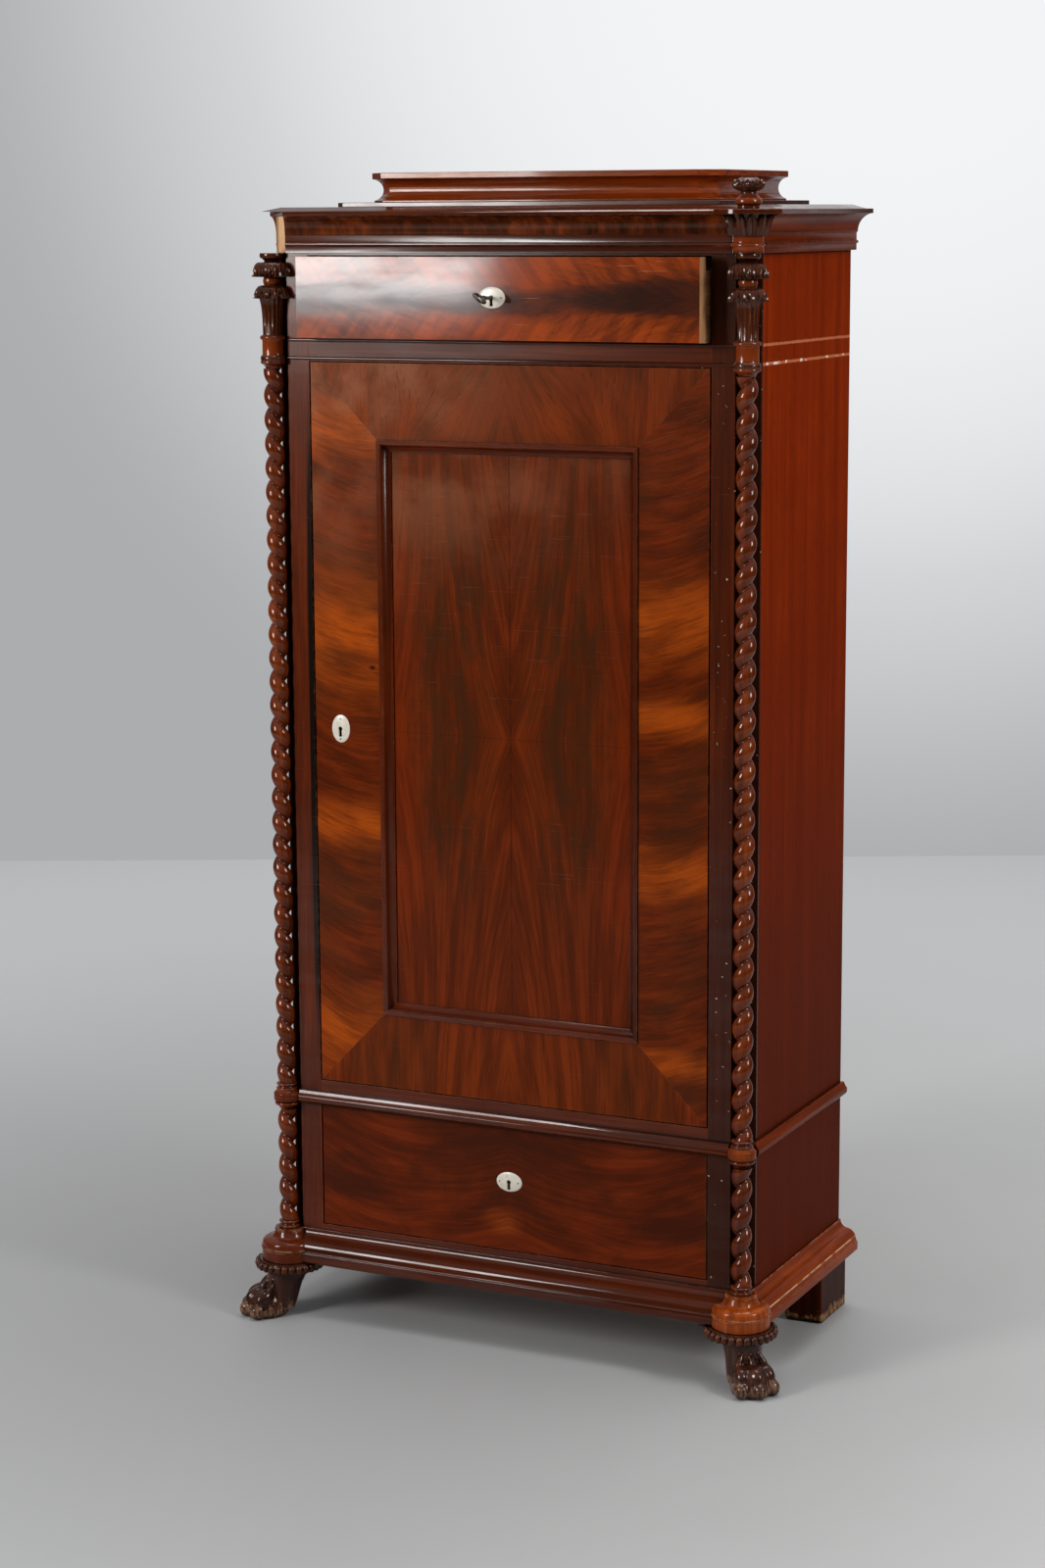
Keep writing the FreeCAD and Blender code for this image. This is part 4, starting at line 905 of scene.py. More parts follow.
class Finishes:
    """Every finish of the cabinet, made once."""

    def __init__(self) -> None:
        """Make the materials."""
        self.solid_woods()
        self.carved_woods()
        self.veneers()
        self.raw_x, self.raw_y, self.raw_z = (
            RawWood(f"bare_wood_{word}", grain=grain).material()
            for word, grain in zip(("level", "deep", "upright"), Grain))
        self.bone = Bone().material()
        self.iron = Iron().material()

    def solid_woods(self) -> None:
        """Stiles, rails, sides and mouldings."""
        deep = tones((48, 16, 4), (66, 23, 6), (86, 32, 9))
        bright = tones((88, 30, 4), (116, 43, 7), (142, 58, 11))
        level, back = Grain.ALONG_X, Grain.ALONG_Y
        self.stile = StileWood("polished_stile", coat=0.35, coat_gloss=0.16, shine=0.06).material()
        # painted shade: near-black tones for the canted faces beside the columns
        self.dull_shaded_stile = StileWood(
            "dull_shaded_stile", gloss=0.7, shine=0.0, coat=0.0,
            **tones((26, 9, 3), (36, 13, 5), (48, 18, 7))).material()
        self.rail = Wood("polished_rail", grain=level, coat=0.45, coat_gloss=0.16, shine=0.06).material()
        self.side = SideWood(
            "polished_side", along=0.9, across=22.0, gloss=0.42, shine=0.008, coat=0.0,
            **tones((104, 28, 1), (119, 35, 2), (134, 42, 3))).material()
        self.run_x = Wood(
            "polished_moulding_front", grain=level, gloss=0.24, coat=0.55, coat_gloss=0.05, shine=0.03,
            rubbed=0.55, worn=srgb(170, 104, 64), **deep).material()
        self.run_y = Wood(
            "polished_moulding_side", grain=back, shine=0.06, across=30.0, rubbed=0.6,
            worn=srgb(178, 112, 70), **tones((72, 23, 3), (94, 32, 5), (116, 43, 8))).material()
        self.cove = Wood(
            "polished_cove", along=4.0, across=24.0, gloss=0.24, coat=0.3,
            **tones((38, 15, 5), (80, 32, 9), (122, 52, 15))).material()
        self.frieze = Wood(
            "polished_frieze", grain=level, coat=1.0, coat_gloss=0.17, shine=0.06, **deep).material()
        self.low_run_y = PlinthWood(
            "polished_plinth_side", grain=back, shine=0.06, across=24.0, rubbed=0.9, edge_reach=0.0022,
            worn=srgb(206, 152, 112), **bright).material()
        self.gallery = Wood(
            "polished_gallery", grain=level, gloss=0.18, coat=0.45, rubbed=0.5, worn=srgb(178, 112, 70),
            **bright).material()
        self.lid = Wood(
            "polished_lid", grain=level, gloss=0.3, coat=0.14, shine=0.03, rubbed=0.2, **deep).material()

    def carved_woods(self) -> None:
        """Turnings, twists, carving and feet."""
        self.turned = TurnedWood(
            "polished_turning", gloss=0.24, coat=0.4, shine=0.06, across=40.0, rubbed=0.7, edge_reach=0.0018,
            worn=srgb(206, 152, 112), **tones((90, 33, 5), (122, 50, 8), (150, 68, 14))).material()
        self.twisted = Wood(
            "polished_twist", gloss=0.2, coat=0.6, coat_gloss=0.08, shine=0.1, across=40.0, grime_and_shade=0.92,
            **tones((64, 21, 3), (96, 35, 5), (128, 54, 9))).material()
        self.carved = CarvedWood(
            "polished_carving", gloss=0.24, coat=0.55, coat_gloss=0.11, shine=0.1, grime_and_shade=0.95, rubbed=0.45,
            worn=srgb(126, 72, 42), **tones((42, 17, 8), (64, 27, 12), (88, 41, 19))).material()
        self.paw = FootWood(
            "polished_paw", gloss=0.22, coat=0.6, coat_gloss=0.1, shine=0.1, grime_and_shade=0.95, rubbed=0.35,
            knocked_below=0.042, knocked=srgb(124, 92, 70), worn=srgb(104, 62, 40),
            **tones((34, 15, 9), (53, 24, 14), (76, 38, 22))).material()
        self.foot = FootWood(
            "polished_rear_foot", shine=0.03, coat=0.0, knocked_below=0.028, knocked=srgb(164, 122, 82),
            **tones((42, 15, 5), (57, 21, 7), (70, 28, 10))).material()

    def veneers(self) -> None:
        """The door and both drawer fronts."""
        self.panel = Veneer(
            "veneer_panel", figure=Figure.QUARTERED, along=5.0, across=85.0, wander=0.06,
            flame=srgb(122, 38, 4), sheen_from=1.02, sheen_lean=0.35).material()
        self.door_stile = Veneer(
            "veneer_door_stile", figure=Figure.CROSS_STILE, along=9.0, across=85.0, wander=0.06,
            left_glow=((0.99, 0.13), (0.42, 0.085), (1.27, 0.06), (0.72, 0.05)),
            right_glow=((1.03, 0.085), (0.9, 0.04), (0.69, 0.06), (0.43, 0.03)),
        ).material()
        self.door_rail = Veneer(
            "veneer_door_rail", figure=Figure.CROSS_RAIL, along=6.0, across=80.0, wander=0.05).material()
        self.top_front = Veneer(
            "veneer_top_drawer", figure=Figure.BANDED, centre=1.4465, along=8.0, across=56.0, wander=0.04,
            cloud=srgb(34, 16, 10), flame=srgb(146, 58, 12), gloss=0.4, shine=0.03, coat=0.8, coat_gloss=0.09,
            scratched=0.5, sheen_from=2.0, **tones((54, 17, 4), (84, 29, 6), (108, 40, 9))).material()
        self.low_front = Veneer(
            "veneer_bottom_drawer", figure=Figure.SWIRLED, centre=0.2242, along=5.0, across=60.0, wander=0.08,
            cloud=srgb(54, 17, 5), flame=srgb(132, 56, 14),
            **tones((68, 20, 4), (87, 27, 5), (106, 36, 7))).material()


@dataclass(frozen=True)
class Place:
    """What a piece belongs to: the body it moves with, its material slot and the nodes it stands for."""

    body: str = "case"
    slot: str = "mahogany"
    stands_for: tuple[str, ...] = ()


class Shape:
    """A mesh being made, with the few operations that the cabinet's pieces share."""

    def __init__(self) -> None:
        """Start with nothing."""
        self.bm = bmesh.new()

    @classmethod
    def of_nodes(cls, *nodes: str) -> "Shape":
        """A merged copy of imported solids, with their flat faces made whole again.

        Args:
            nodes: The nodes to copy.

        Returns:
            The new shape.
        """
        shape = cls()
        for node in nodes:
            shape.bm.from_mesh(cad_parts[node].data)
        for face in shape.bm.faces:
            face.material_index = 0
        bmesh.ops.remove_doubles(shape.bm, verts=shape.bm.verts[:], dist=MERGE)
        bmesh.ops.dissolve_limit(shape.bm, angle_limit=math.radians(0.6), verts=shape.bm.verts[:],
                                 edges=shape.bm.edges[:])
        return shape

    @staticmethod
    def edges_of(verts: Iterable[bmesh.types.BMVert]) -> list[bmesh.types.BMEdge]:
        """The edges that meet at some vertices, each once."""
        return list(dict.fromkeys(edge for vert in verts for edge in vert.link_edges))

    @staticmethod
    def faces_of(verts: Iterable[bmesh.types.BMVert]) -> list[bmesh.types.BMFace]:
        """The faces that meet at some vertices, each once."""
        return list(dict.fromkeys(face for vert in verts for face in vert.link_faces))

    def added(self, before: set) -> list[bmesh.types.BMVert]:
        """The vertices made since a set of them was taken."""
        return [vert for vert in self.bm.verts if vert not in before]

    def face_outward(self, verts: Iterable[bmesh.types.BMVert]) -> None:
        """Make the faces at some vertices look outward."""
        bmesh.ops.recalc_face_normals(self.bm, faces=self.faces_of(verts))

    def close_rims(self, edges: Iterable[bmesh.types.BMEdge]) -> None:
        """Close the open rims among some edges."""
        bmesh.ops.holes_fill(self.bm, edges=[edge for edge in edges if edge.is_boundary], sides=0)

    def repeat_round(self, verts: Sequence[bmesh.types.BMVert], axis: Vector, count: int) -> None:
        """Copy a piece of the mesh round an upright axis.

        Args:
            verts: The piece's vertices.
            axis: Any point of the axis.
            count: How many pieces there are in the end, evenly spaced.
        """
        geometry = [*verts, *self.edges_of(verts), *self.faces_of(verts)]
        bmesh.ops.spin(self.bm, geom=geometry, cent=axis, axis=UP, angle=FULL_TURN * (count - 1) / count,
                       steps=count - 1, use_duplicate=True)

    def turn_on_lathe(self, profile: Profile, axis: Vector, steps: int) -> list[bmesh.types.BMVert]:
        """Turn a profile about an upright axis.

        Args:
            profile: Radii and heights, from the bottom up, closed on the axis at both ends.
            axis: Any point of the axis.
            steps: Faces round the turning.

        Returns:
            The new vertices.
        """
        before = set(self.bm.verts)
        line = [self.bm.verts.new((axis.x + radius, axis.y, height)) for radius, height in profile]
        edges = [self.bm.edges.new(pair) for pair in zip(line, line[1:])]
        bmesh.ops.spin(self.bm, geom=line + edges, cent=axis, axis=UP, angle=FULL_TURN, steps=steps,
                       use_merge=True)
        bmesh.ops.remove_doubles(self.bm, verts=self.added(before), dist=MERGE)
        new = self.added(before)
        self.face_outward(new)
        return new

    def ball(self, centre: Sequence[float], radii: Sequence[float], turn: Optional[Matrix] = None,
             rings: int = 16) -> list[bmesh.types.BMVert]:
        """An egg-shaped ball.

        Args:
            centre: Its middle.
            radii: Its three half sizes.
            turn: How it is turned before it is put in place.
            rings: Faces from pole to pole.

        Returns:
            The new vertices.
        """
        matrix = Matrix.Translation(centre) @ (turn or Matrix()) @ Matrix.Diagonal((*radii, 1.0))
        made = bmesh.ops.create_uvsphere(self.bm, u_segments=2 * rings, v_segments=rings, radius=1.0,
                                         matrix=matrix)
        return made["verts"]

    def leaf_ring(self, axis: Vector, path: Profile, half_width: float, count: int, rib: float = 0.0016,
                  thickness: float = 0.0016, phase: float = 0.0) -> None:
        """A ring of carved leaves, each a ribbed blade bent along a path.

        Args:
            axis: Any point of the ring's axis.
            path: Radius and height of the leaf's root, bend and tip.
            half_width: Half the widest width of a leaf.
            count: Leaves in the ring.
            rib: How far the middle rib stands out.
            thickness: Thickness of a blade.
            phase: Turn of the first leaf, as a share of the spacing.
        """
        before = set(self.bm.verts)
        bmesh.ops.create_grid(self.bm, x_segments=6, y_segments=8, size=0.5)
        blade = self.added(before)
        (root_r, root_z), (bend_r, bend_z), (tip_r, tip_z) = path
        for vert in blade:
            side, run = 2 * vert.co.x, vert.co.y + 0.5
            radius = (1 - run) ** 2 * root_r + 2 * run * (1 - run) * bend_r + run ** 2 * tip_r
            height = (1 - run) ** 2 * root_z + 2 * run * (1 - run) * bend_z + run ** 2 * tip_z
            width = half_width * (0.55 + 0.45 * math.sin(math.pi * min(run * 0.8 + 0.1, 1.0)))
            width *= math.sqrt(max(1.0 - run ** 6, 0.0)) * 0.85 + 0.15
            bulge = rib * (1 - abs(side)) ** 0.7 - 0.5 * rib * abs(side) ** 3
            flutter = 0.35 * rib * math.cos(3 * math.pi * side)
            vert.co = axis + Vector((radius + bulge + flutter, side * width, height))
        self.face_outward(blade)
        bmesh.ops.solidify(self.bm, geom=self.faces_of(blade), thickness=thickness)
        blade = self.added(before)
        bmesh.ops.rotate(self.bm, verts=blade, cent=axis,
                         matrix=Matrix.Rotation(phase * FULL_TURN / count, 3, "Z"))
        self.repeat_round(blade, axis, count)
        self.face_outward(self.added(before))

    def mirror(self) -> None:
        """Add the same shape on the other side of the cabinet."""
        geometry = self.bm.verts[:] + self.bm.edges[:] + self.bm.faces[:]
        bmesh.ops.mirror(self.bm, geom=geometry, axis="X", merge_dist=-1.0)
        bmesh.ops.recalc_face_normals(self.bm, faces=self.bm.faces[:])

    def publish(self, name: str, place: Place, materials: Sequence[bpy.types.Material], ease: float = 0.0,
                sharp: float = 38.0) -> bpy.types.Object:
        """Finish the mesh as a piece of the cabinet.

        Args:
            name: The piece's name.
            place: What it belongs to.
            materials: Its finishes, in the order of the faces' numbers.
            ease: Width of the small round on its edges, in metres.
            sharp: Edges that turn by more than this, in degrees, stay sharp.

        Returns:
            The new object.
        """
        mesh = bpy.data.meshes.new(name)
        self.bm.to_mesh(mesh)
        self.bm.free()
        for material in materials:
            mesh.materials.append(material)
        mesh.shade_smooth()
        mesh.set_sharp_from_angle(angle=math.radians(sharp))
        made = bpy.data.objects.new(name, mesh)
        bpy.context.scene.collection.objects.link(made)
        if ease:
            round_over = made.modifiers.new("eased_edges", "BEVEL")
            round_over.width = ease
            round_over.segments = 2
            round_over.limit_method = "ANGLE"
            round_over.angle_limit = math.radians(sharp)
            round_over.harden_normals = True
        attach(made, place.body)
        if place.stands_for:
            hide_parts(*place.stands_for)
        log.info("%s rides on %s", name, place.body)
        return made


def scaled(profile: Profile, radius: float, low: float, rise: float) -> list[tuple[float, float]]:
    """Radii and heights from shares of a radius and of a rise above a low end."""
    return [(across * radius, low + up * rise) for across, up in profile]


def eased(name: str, nodes: Sequence[str], material: bpy.types.Material, body: str = "case",
          slot: str = "mahogany", ease: float = 0.0009) -> None:
    """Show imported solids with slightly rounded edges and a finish.

    Args:
        name: The piece's name.
        nodes: The nodes that it stands for.
        material: Its finish.
        body: The body that it moves with.
        slot: Its material slot.
        ease: Width of the round on its edges.
    """
    Shape.of_nodes(*nodes).publish(name, Place(body, slot, tuple(nodes)), [material], ease)


def dress_node(name: str, material: bpy.types.Material) -> None:
    """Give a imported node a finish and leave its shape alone.

    Args:
        name: The node's name.
        material: Its finish.
    """
    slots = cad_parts[name].data.materials
    slots.clear()
    slots.append(material)
    log.info("%s dressed", name)


@dataclass
class Carcass:
    """The case: stiles, rails, sides, back and the boards inside."""

    finishes: Finishes
    board_ease: float = 0.0012
    back_ease: float = 0.0015
    foot_ease: float = 0.002

    def build(self) -> None:
        """Build the outside boards and dress the inner ones."""
        look = self.finishes
        self.stiles()
        eased("front_rails", ["bottom_rail", "waist_rail", "drawer_rail", "frieze_rail"], look.rail)
        eased("case_sides", ["left_side_panel", "right_side_panel"], look.side, ease=self.board_ease)
        eased("case_back", ["back_boards"], look.raw_z, slot="inner_wood", ease=self.back_ease)
        eased("rear_blocks", ["rear_feet"], look.foot, ease=self.foot_ease)
        self.dress()

    def stiles(self) -> None:
        """The corner stiles, dull and darkened with painted shade on the canted faces that the columns hide.
        """
        nodes = ("left_stile", "right_stile")
        shape = Shape.of_nodes(*nodes)
        for face in shape.bm.faces:
            if face.normal.y < -CANTED and abs(face.normal.x) > CANTED:
                face.material_index = 1
        shape.publish("corner_stiles", Place("case", "mahogany", nodes),
                      [self.finishes.stile, self.finishes.dull_shaded_stile], self.board_ease)

    def dress(self) -> None:
        """Give the boards inside the case their bare wood."""
        level = ("carcass_bottom", "cupboard_floor", "drawer_dust_board", "carcass_top", "shelves")
        deep = ("shelf_battens", "drawer_guides")
        for names, material in ((level, self.finishes.raw_x), (deep, self.finishes.raw_y)):
            for name in names:
                dress_node(name, material)
        dress_node("hinge_pins", self.finishes.iron)


@dataclass
class Mouldings:
    """Plinth, waist, drawer rail beads, cornice, top and gallery."""

    finishes: Finishes
    ease: float = 0.0008
    cove_low: float = 1.527
    left_corner: tuple[float, float] = (-0.3, -0.09)
    foot_band: float = 0.001

    def build(self) -> None:
        """Build every run of moulding and the boards of the top."""
        look = self.finishes
        for name, nodes, material in (
            ("plinth_face", ["plinth_front"], look.run_x),
            ("plinth_ends", ["plinth_returns"], look.low_run_y),
            ("waist_face", ["waist_moulding_front"], look.run_x),
            ("waist_ends", ["waist_moulding_returns"], look.run_y),
            ("drawer_rail_beads", ["rail_beads"], look.run_x),
            ("top_board", ["cornice_top_board"], look.run_x),
            ("gallery_base", ["gallery_plate"], look.frieze),
            ("gallery_hollow", ["gallery_moulding"], look.gallery),
            ("gallery_cover", ["gallery_lid"], look.lid),
        ):
            eased(name, nodes, material, ease=self.ease)
        for name, node, finishes in (
            ("cornice_face", "cornice_front", [look.frieze, look.raw_z, look.cove]),
            ("cornice_ends", "cornice_returns", [look.run_y, look.raw_z, look.run_y]),
        ):
            shape = Shape.of_nodes(node)
            for face in shape.bm.faces:
                face.material_index = 2 if face.calc_center_median().z > self.cove_low else 0
            self.bare_strip(shape)
            shape.publish(name, Place("case", "mahogany", (node,)), finishes, self.ease)

    def bare_strip(self, shape: Shape) -> None:
        """Leave an upright strip bare at the left corner, where the lost block was glued to the canted end.

        Args:
            shape: A run of the cornice.
        """
        ends = self.canted_ends(shape)
        corners = list(dict.fromkeys(vert for face in ends for vert in face.verts))
        sides = list(dict.fromkeys(side for face in ends for side in face.edges))
        low = min(vert.co.z for vert in corners)
        edge = min(vert.co.x for vert in corners if vert.co.z < low + self.foot_band)
        geometry = ends + sides + corners
        bmesh.ops.bisect_plane(shape.bm, geom=geometry, plane_co=(edge, 0, 0), plane_no=(1, 0, 0))
        for face in self.canted_ends(shape):
            face.material_index = 1 if face.calc_center_median().x > edge else 0

    def canted_ends(self, shape: Shape) -> list[bmesh.types.BMFace]:
        """The faces that look out of the left corner.

        Args:
            shape: A run of the cornice.

        Returns:
            The faces.
        """
        beyond_x, before_y = self.left_corner
        faces = [face for face in shape.bm.faces if face.normal.x < -CANTED and face.normal.y < -CANTED]
        middles = [face.calc_center_median() for face in faces]
        return [face for face, middle in zip(faces, middles) if middle.x < beyond_x and middle.y < before_y]


@dataclass
class Column:
    """One corner column: plinth block, two twisted shafts and the waist disc between them."""

    side: Side
    finishes: Finishes
    plinth_low: float = 0.082
    plinth_high: float = 0.127
    waist_low: float = 0.313
    waist_high: float = 0.330
    head_low: float = 1.360
    crest: float = 0.014
    groove: float = 0.0064
    pitch: float = 0.033
    ring: float = 0.0176
    base_height: float = 0.012
    cup_height: float = 0.0105
    block_radius: float = 0.041
    disc_radius: float = 0.019
    sides: int = 30
    steps_per_turn: int = 26
    ring_steps: int = 40

    def build(self) -> None:
        """Build the shafts of this side."""
        word = self.side.name.lower()
        self.shaft(f"{word}_lower_shaft", f"{word}_lower_twist", self.plinth_high, self.waist_low)
        self.shaft(f"{word}_upper_shaft", f"{word}_upper_twist", self.waist_high, self.head_low)

    def shaft(self, name: str, node: str, low: float, high: float) -> None:
        """A turned base, a rope twist and a turned cup.

        Args:
            name: The piece's name.
            node: The node that it stands for.
            low: Height of its foot.
            high: Height of its top.
        """
        shape = Shape()
        axis = self.side.axis
        base = [
            (0, 0), (0.85, 0), (0.86, 0.06), (0.86, 0.26), (0.83, 0.33), (0.7, 0.4), (0.66, 0.5),
            (0.68, 0.58), (0.8, 0.64), (0.85, 0.72), (0.84, 0.82), (0.74, 0.92), (0.6, 1.0), (0, 1.0),
        ]
        cup = [
            (0, 0), (0.6, 0), (0.63, 0.1), (0.68, 0.28), (0.78, 0.45), (0.93, 0.6), (0.99, 0.68),
            (1.0, 0.8), (0.99, 0.96), (0.96, 1.0), (0, 1.0),
        ]
        cup_low = high - self.cup_height
        shape.turn_on_lathe(scaled(base, self.ring, low, self.base_height), axis, self.ring_steps)
        shape.turn_on_lathe(scaled(cup, self.ring, cup_low, self.cup_height), axis, self.ring_steps)
        foot, run = low + self.base_height, high - low - self.base_height - self.cup_height
        self.twist(shape, foot, run)
        shape.publish(name, Place("case", "mahogany", (node,)), [self.finishes.twisted], sharp=55.0)

    def twist(self, shape: Shape, foot: float, run: float) -> None:
        """Screw a cam-shaped ring up the axis.

        Args:
            shape: The mesh to add it to.
            foot: Height of its lower end.
            run: Its length.
        """
        before = set(shape.bm.verts)
        ring = bmesh.ops.create_circle(shape.bm, segments=self.sides, radius=self.crest)["verts"]
        bow = ((self.pitch / 2) ** 2 + (self.crest - self.groove) ** 2) / (2 * (self.crest - self.groove))
        for vert in ring:
            angle = math.atan2(vert.co.y, vert.co.x)
            reach = self.crest - bow + math.sqrt(bow ** 2 - (self.pitch * angle / FULL_TURN) ** 2)
            vert.co = self.side.axis + Vector((reach * math.cos(angle), reach * math.sin(angle), foot))
        steps = round(run / self.pitch * self.steps_per_turn)
        bmesh.ops.spin(shape.bm, geom=ring + shape.edges_of(ring), cent=self.side.axis, axis=UP, steps=steps,
                       dvec=UP * (run / steps), angle=self.side.value * FULL_TURN * run / self.pitch)
        new = shape.added(before)
        shape.close_rims(shape.edges_of(new))
        shape.face_outward(new)


@dataclass
class Blocks:
    """The turned plinth blocks and waist discs of both columns."""

    finishes: Finishes
    column: Column
    steps: int = 72

    def build(self) -> None:
        """Turn both pairs."""
        low, high = self.column.plinth_low, self.column.plinth_high
        block = [
            (0, 0), (0.95, 0), (0.97, 0.02), (0.972, 0.06), (0.968, 0.3), (0.972, 0.335), (0.995, 0.35),
            (1.0, 0.37), (1.0, 0.405), (0.985, 0.42), (0.965, 0.425), (0.968, 0.47), (0.962, 0.53),
            (0.94, 0.585), (0.9, 0.63), (0.84, 0.665), (0.76, 0.69), (0.67, 0.702), (0.61, 0.72),
            (0.585, 0.75), (0.56, 0.79), (0.535, 0.84), (0.515, 0.885), (0.505, 0.905), (0.525, 0.92),
            (0.525, 0.95), (0.5, 0.96), (0.5, 1), (0, 1),
        ]
        self.turn("plinth_corner_blocks", "plinth_blocks", block, self.column.block_radius, low, high)
        disc = [
            (0, 0), (0.82, 0), (0.84, 0.02), (0.98, 0.16), (1.0, 0.2), (1.0, 0.72), (0.98, 0.77),
            (0.8, 0.98), (0.78, 1), (0, 1),
        ]
        self.turn("waist_corner_discs", "waist_discs", disc, self.column.disc_radius,
                  self.column.waist_low, self.column.waist_high)

    def turn(self, name: str, node: str, profile: Profile, radius: float, low: float, high: float) -> None:
        """Turn one shape on both columns' axes.

        Args:
            name: The piece's name.
            node: The node that it stands for.
            profile: Shares of the radius and the height.
            radius: Largest radius.
            low: Height of the foot.
            high: Height of the top.
        """
        shape = Shape()
        for side in Side:
            shape.turn_on_lathe(scaled(profile, radius, low, high - low), side.axis, self.steps)
        shape.publish(name, Place("case", "mahogany", (node,)), [self.finishes.turned], sharp=30.0)


@dataclass
class Head:
    """One column's carved head: drum, fluted bell and two drooping collars of leaves."""

    side: Side
    finishes: Finishes
    low: float = 1.360
    high: float = 1.505
    radius: float = 0.024
    flutes: int = 16
    flute_depth: float = 0.0017
    flute_span: tuple[float, float] = (0.25, 0.6)
    flute_fade: tuple[float, float] = (0.02, 0.03)
    leaves: int = 11
    steps: int = 96

    def build(self) -> None:
        """Turn, flute and carve the head."""
        shape = Shape()
        axis, rise = self.side.axis, self.high - self.low
        profile = [
            (0, 0), (0.7, 0), (0.73, 0.012), (0.735, 0.03), (0.7, 0.046), (0.63, 0.052), (0.62, 0.06),
            (0.62, 0.185), (0.64, 0.195), (0.72, 0.2), (0.74, 0.215), (0.73, 0.228), (0.66, 0.236),
            (0.58, 0.24), (0.57, 0.255), (0.58, 0.36), (0.61, 0.45), (0.66, 0.52), (0.73, 0.575),
            (0.8, 0.605), (0.81, 0.615), (0.75, 0.64), (0.6, 0.668), (0.52, 0.69), (0.46, 0.705),
            (0.5, 0.725), (0.52, 0.745), (0.48, 0.77), (0.44, 0.8), (0.43, 0.88), (0.42, 0.91),
            (0.43, 0.93), (0.52, 0.945), (0.66, 0.958), (0.68, 0.97), (0.68, 0.99), (0.66, 1.0), (0, 1.0),
        ]
        self.flute(shape.turn_on_lathe(scaled(profile, self.radius, self.low, rise), axis, self.steps))
        upper = [(0.44, 0.9), (0.9, 0.93), (0.9, 0.785)]
        lower = [(0.54, 0.69), (0.82, 0.68), (0.88, 0.585)]
        for path, width, phase in ((upper, 0.0066, 0.0), (upper, 0.0056, 0.5), (lower, 0.0062, 0.5)):
            shape.leaf_ring(axis, scaled(path, self.radius, self.low, rise), width, self.leaves, phase=phase)
        word = self.side.name.lower()
        shape.publish(f"{word}_carved_head", Place("case", "carved_mahogany", (f"{word}_capital",)),
                      [self.finishes.carved], sharp=50.0)

    def flute(self, body: Sequence[bmesh.types.BMVert]) -> None:
        """Hollow the bell with upright flutes that fade out at both ends.

        Args:
            body: The vertices of the turned head.
        """
        rise = self.high - self.low
        (start, end), (fade_in, fade_out) = self.flute_span, self.flute_fade
        for vert in body:
            share = (vert.co.z - self.low) / rise
            fade = min((share - start) / fade_in, (end - share) / fade_out, 1.0)
            if fade <= 0:
                continue
            out = vert.co - self.side.axis
            out.z = 0.0
            angle = math.atan2(out.y, out.x)
            depth = self.flute_depth * fade * (0.5 + 0.5 * math.cos(self.flutes * angle)) ** 0.8
            vert.co -= out.normalized() * depth


@dataclass
class Crown:
    """The carved bell under the top board's lobe and the finial that stands on it."""

    finishes: Finishes
    bell_low: float = 1.505
    bell_high: float = 1.554
    bell_radius: float = 0.0295
    bell_leaf: float = 0.0062
    bell_leaves: int = 12
    bell_steps: int = 72
    finial_low: float = 1.5605
    finial_high: float = 1.600
    finial_radius: float = 0.0208
    finial_leaves: int = 10
    finial_steps: int = 64
    leaf_thickness: float = 0.0014

    def build(self) -> None:
        """Build the bell and the finial."""
        self.bell()
        self.finial()

    def bell(self) -> None:
        """A turned drum that flares into a ring of upright leaves."""
        shape = Shape()
        axis = Side.RIGHT.axis
        profile = [
            (0, 0), (0.68, 0), (0.68, 0.16), (0.72, 0.185), (0.745, 0.2), (0.745, 0.235), (0.72, 0.255),
            (0.68, 0.27), (0.68, 0.44), (0.7, 0.47), (0.72, 0.5), (0.76, 0.6), (0.81, 0.72), (0.87, 0.86),
            (0.93, 0.96), (0.97, 1.0), (0, 1.0),
        ]
        leaf = [(0.7, 0.47), (0.86, 0.66), (0.985, 0.99)]
        size = (self.bell_radius, self.bell_low, self.bell_high - self.bell_low)
        shape.turn_on_lathe(scaled(profile, *size), axis, self.bell_steps)
        shape.leaf_ring(axis, scaled(leaf, *size), self.bell_leaf, self.bell_leaves,
                        thickness=self.leaf_thickness)
        shape.publish("right_cornice_bell", Place("case", "carved_mahogany", ("right_cornice_block",)),
                      [self.finishes.carved], sharp=45.0)

    def finial(self) -> None:
        """A turned foot and a bud of leaves."""
        shape = Shape()
        axis = Side.RIGHT.axis
        profile = [
            (0, 0), (0.66, 0), (0.67, 0.02), (0.67, 0.1), (0.72, 0.125), (0.79, 0.15), (0.81, 0.2),
            (0.81, 0.28), (0.77, 0.33), (0.64, 0.375), (0.55, 0.43), (0.49, 0.5), (0.5, 0.55), (0.6, 0.6),
            (0.76, 0.68), (0.84, 0.76), (0.8, 0.86), (0.62, 0.95), (0.35, 0.985), (0, 0.99),
        ]
        size = (self.finial_radius, self.finial_low, self.finial_high - self.finial_low)
        shape.turn_on_lathe(scaled(profile, *size), axis, self.finial_steps)
        for path, width, phase in (
            ([(0.52, 0.56), (1.12, 0.66), (0.86, 0.93)], 0.0064, 0.0),
            ([(0.7, 0.7), (1.0, 0.84), (0.42, 0.99)], 0.0054, 0.5),
        ):
            shape.leaf_ring(axis, scaled(path, *size), width, self.finial_leaves, rib=self.leaf_thickness,
                            thickness=self.leaf_thickness, phase=phase)
        shape.publish("right_leaf_finial", Place("case", "carved_mahogany", ("right_finial",)),
                      [self.finishes.carved], sharp=45.0)


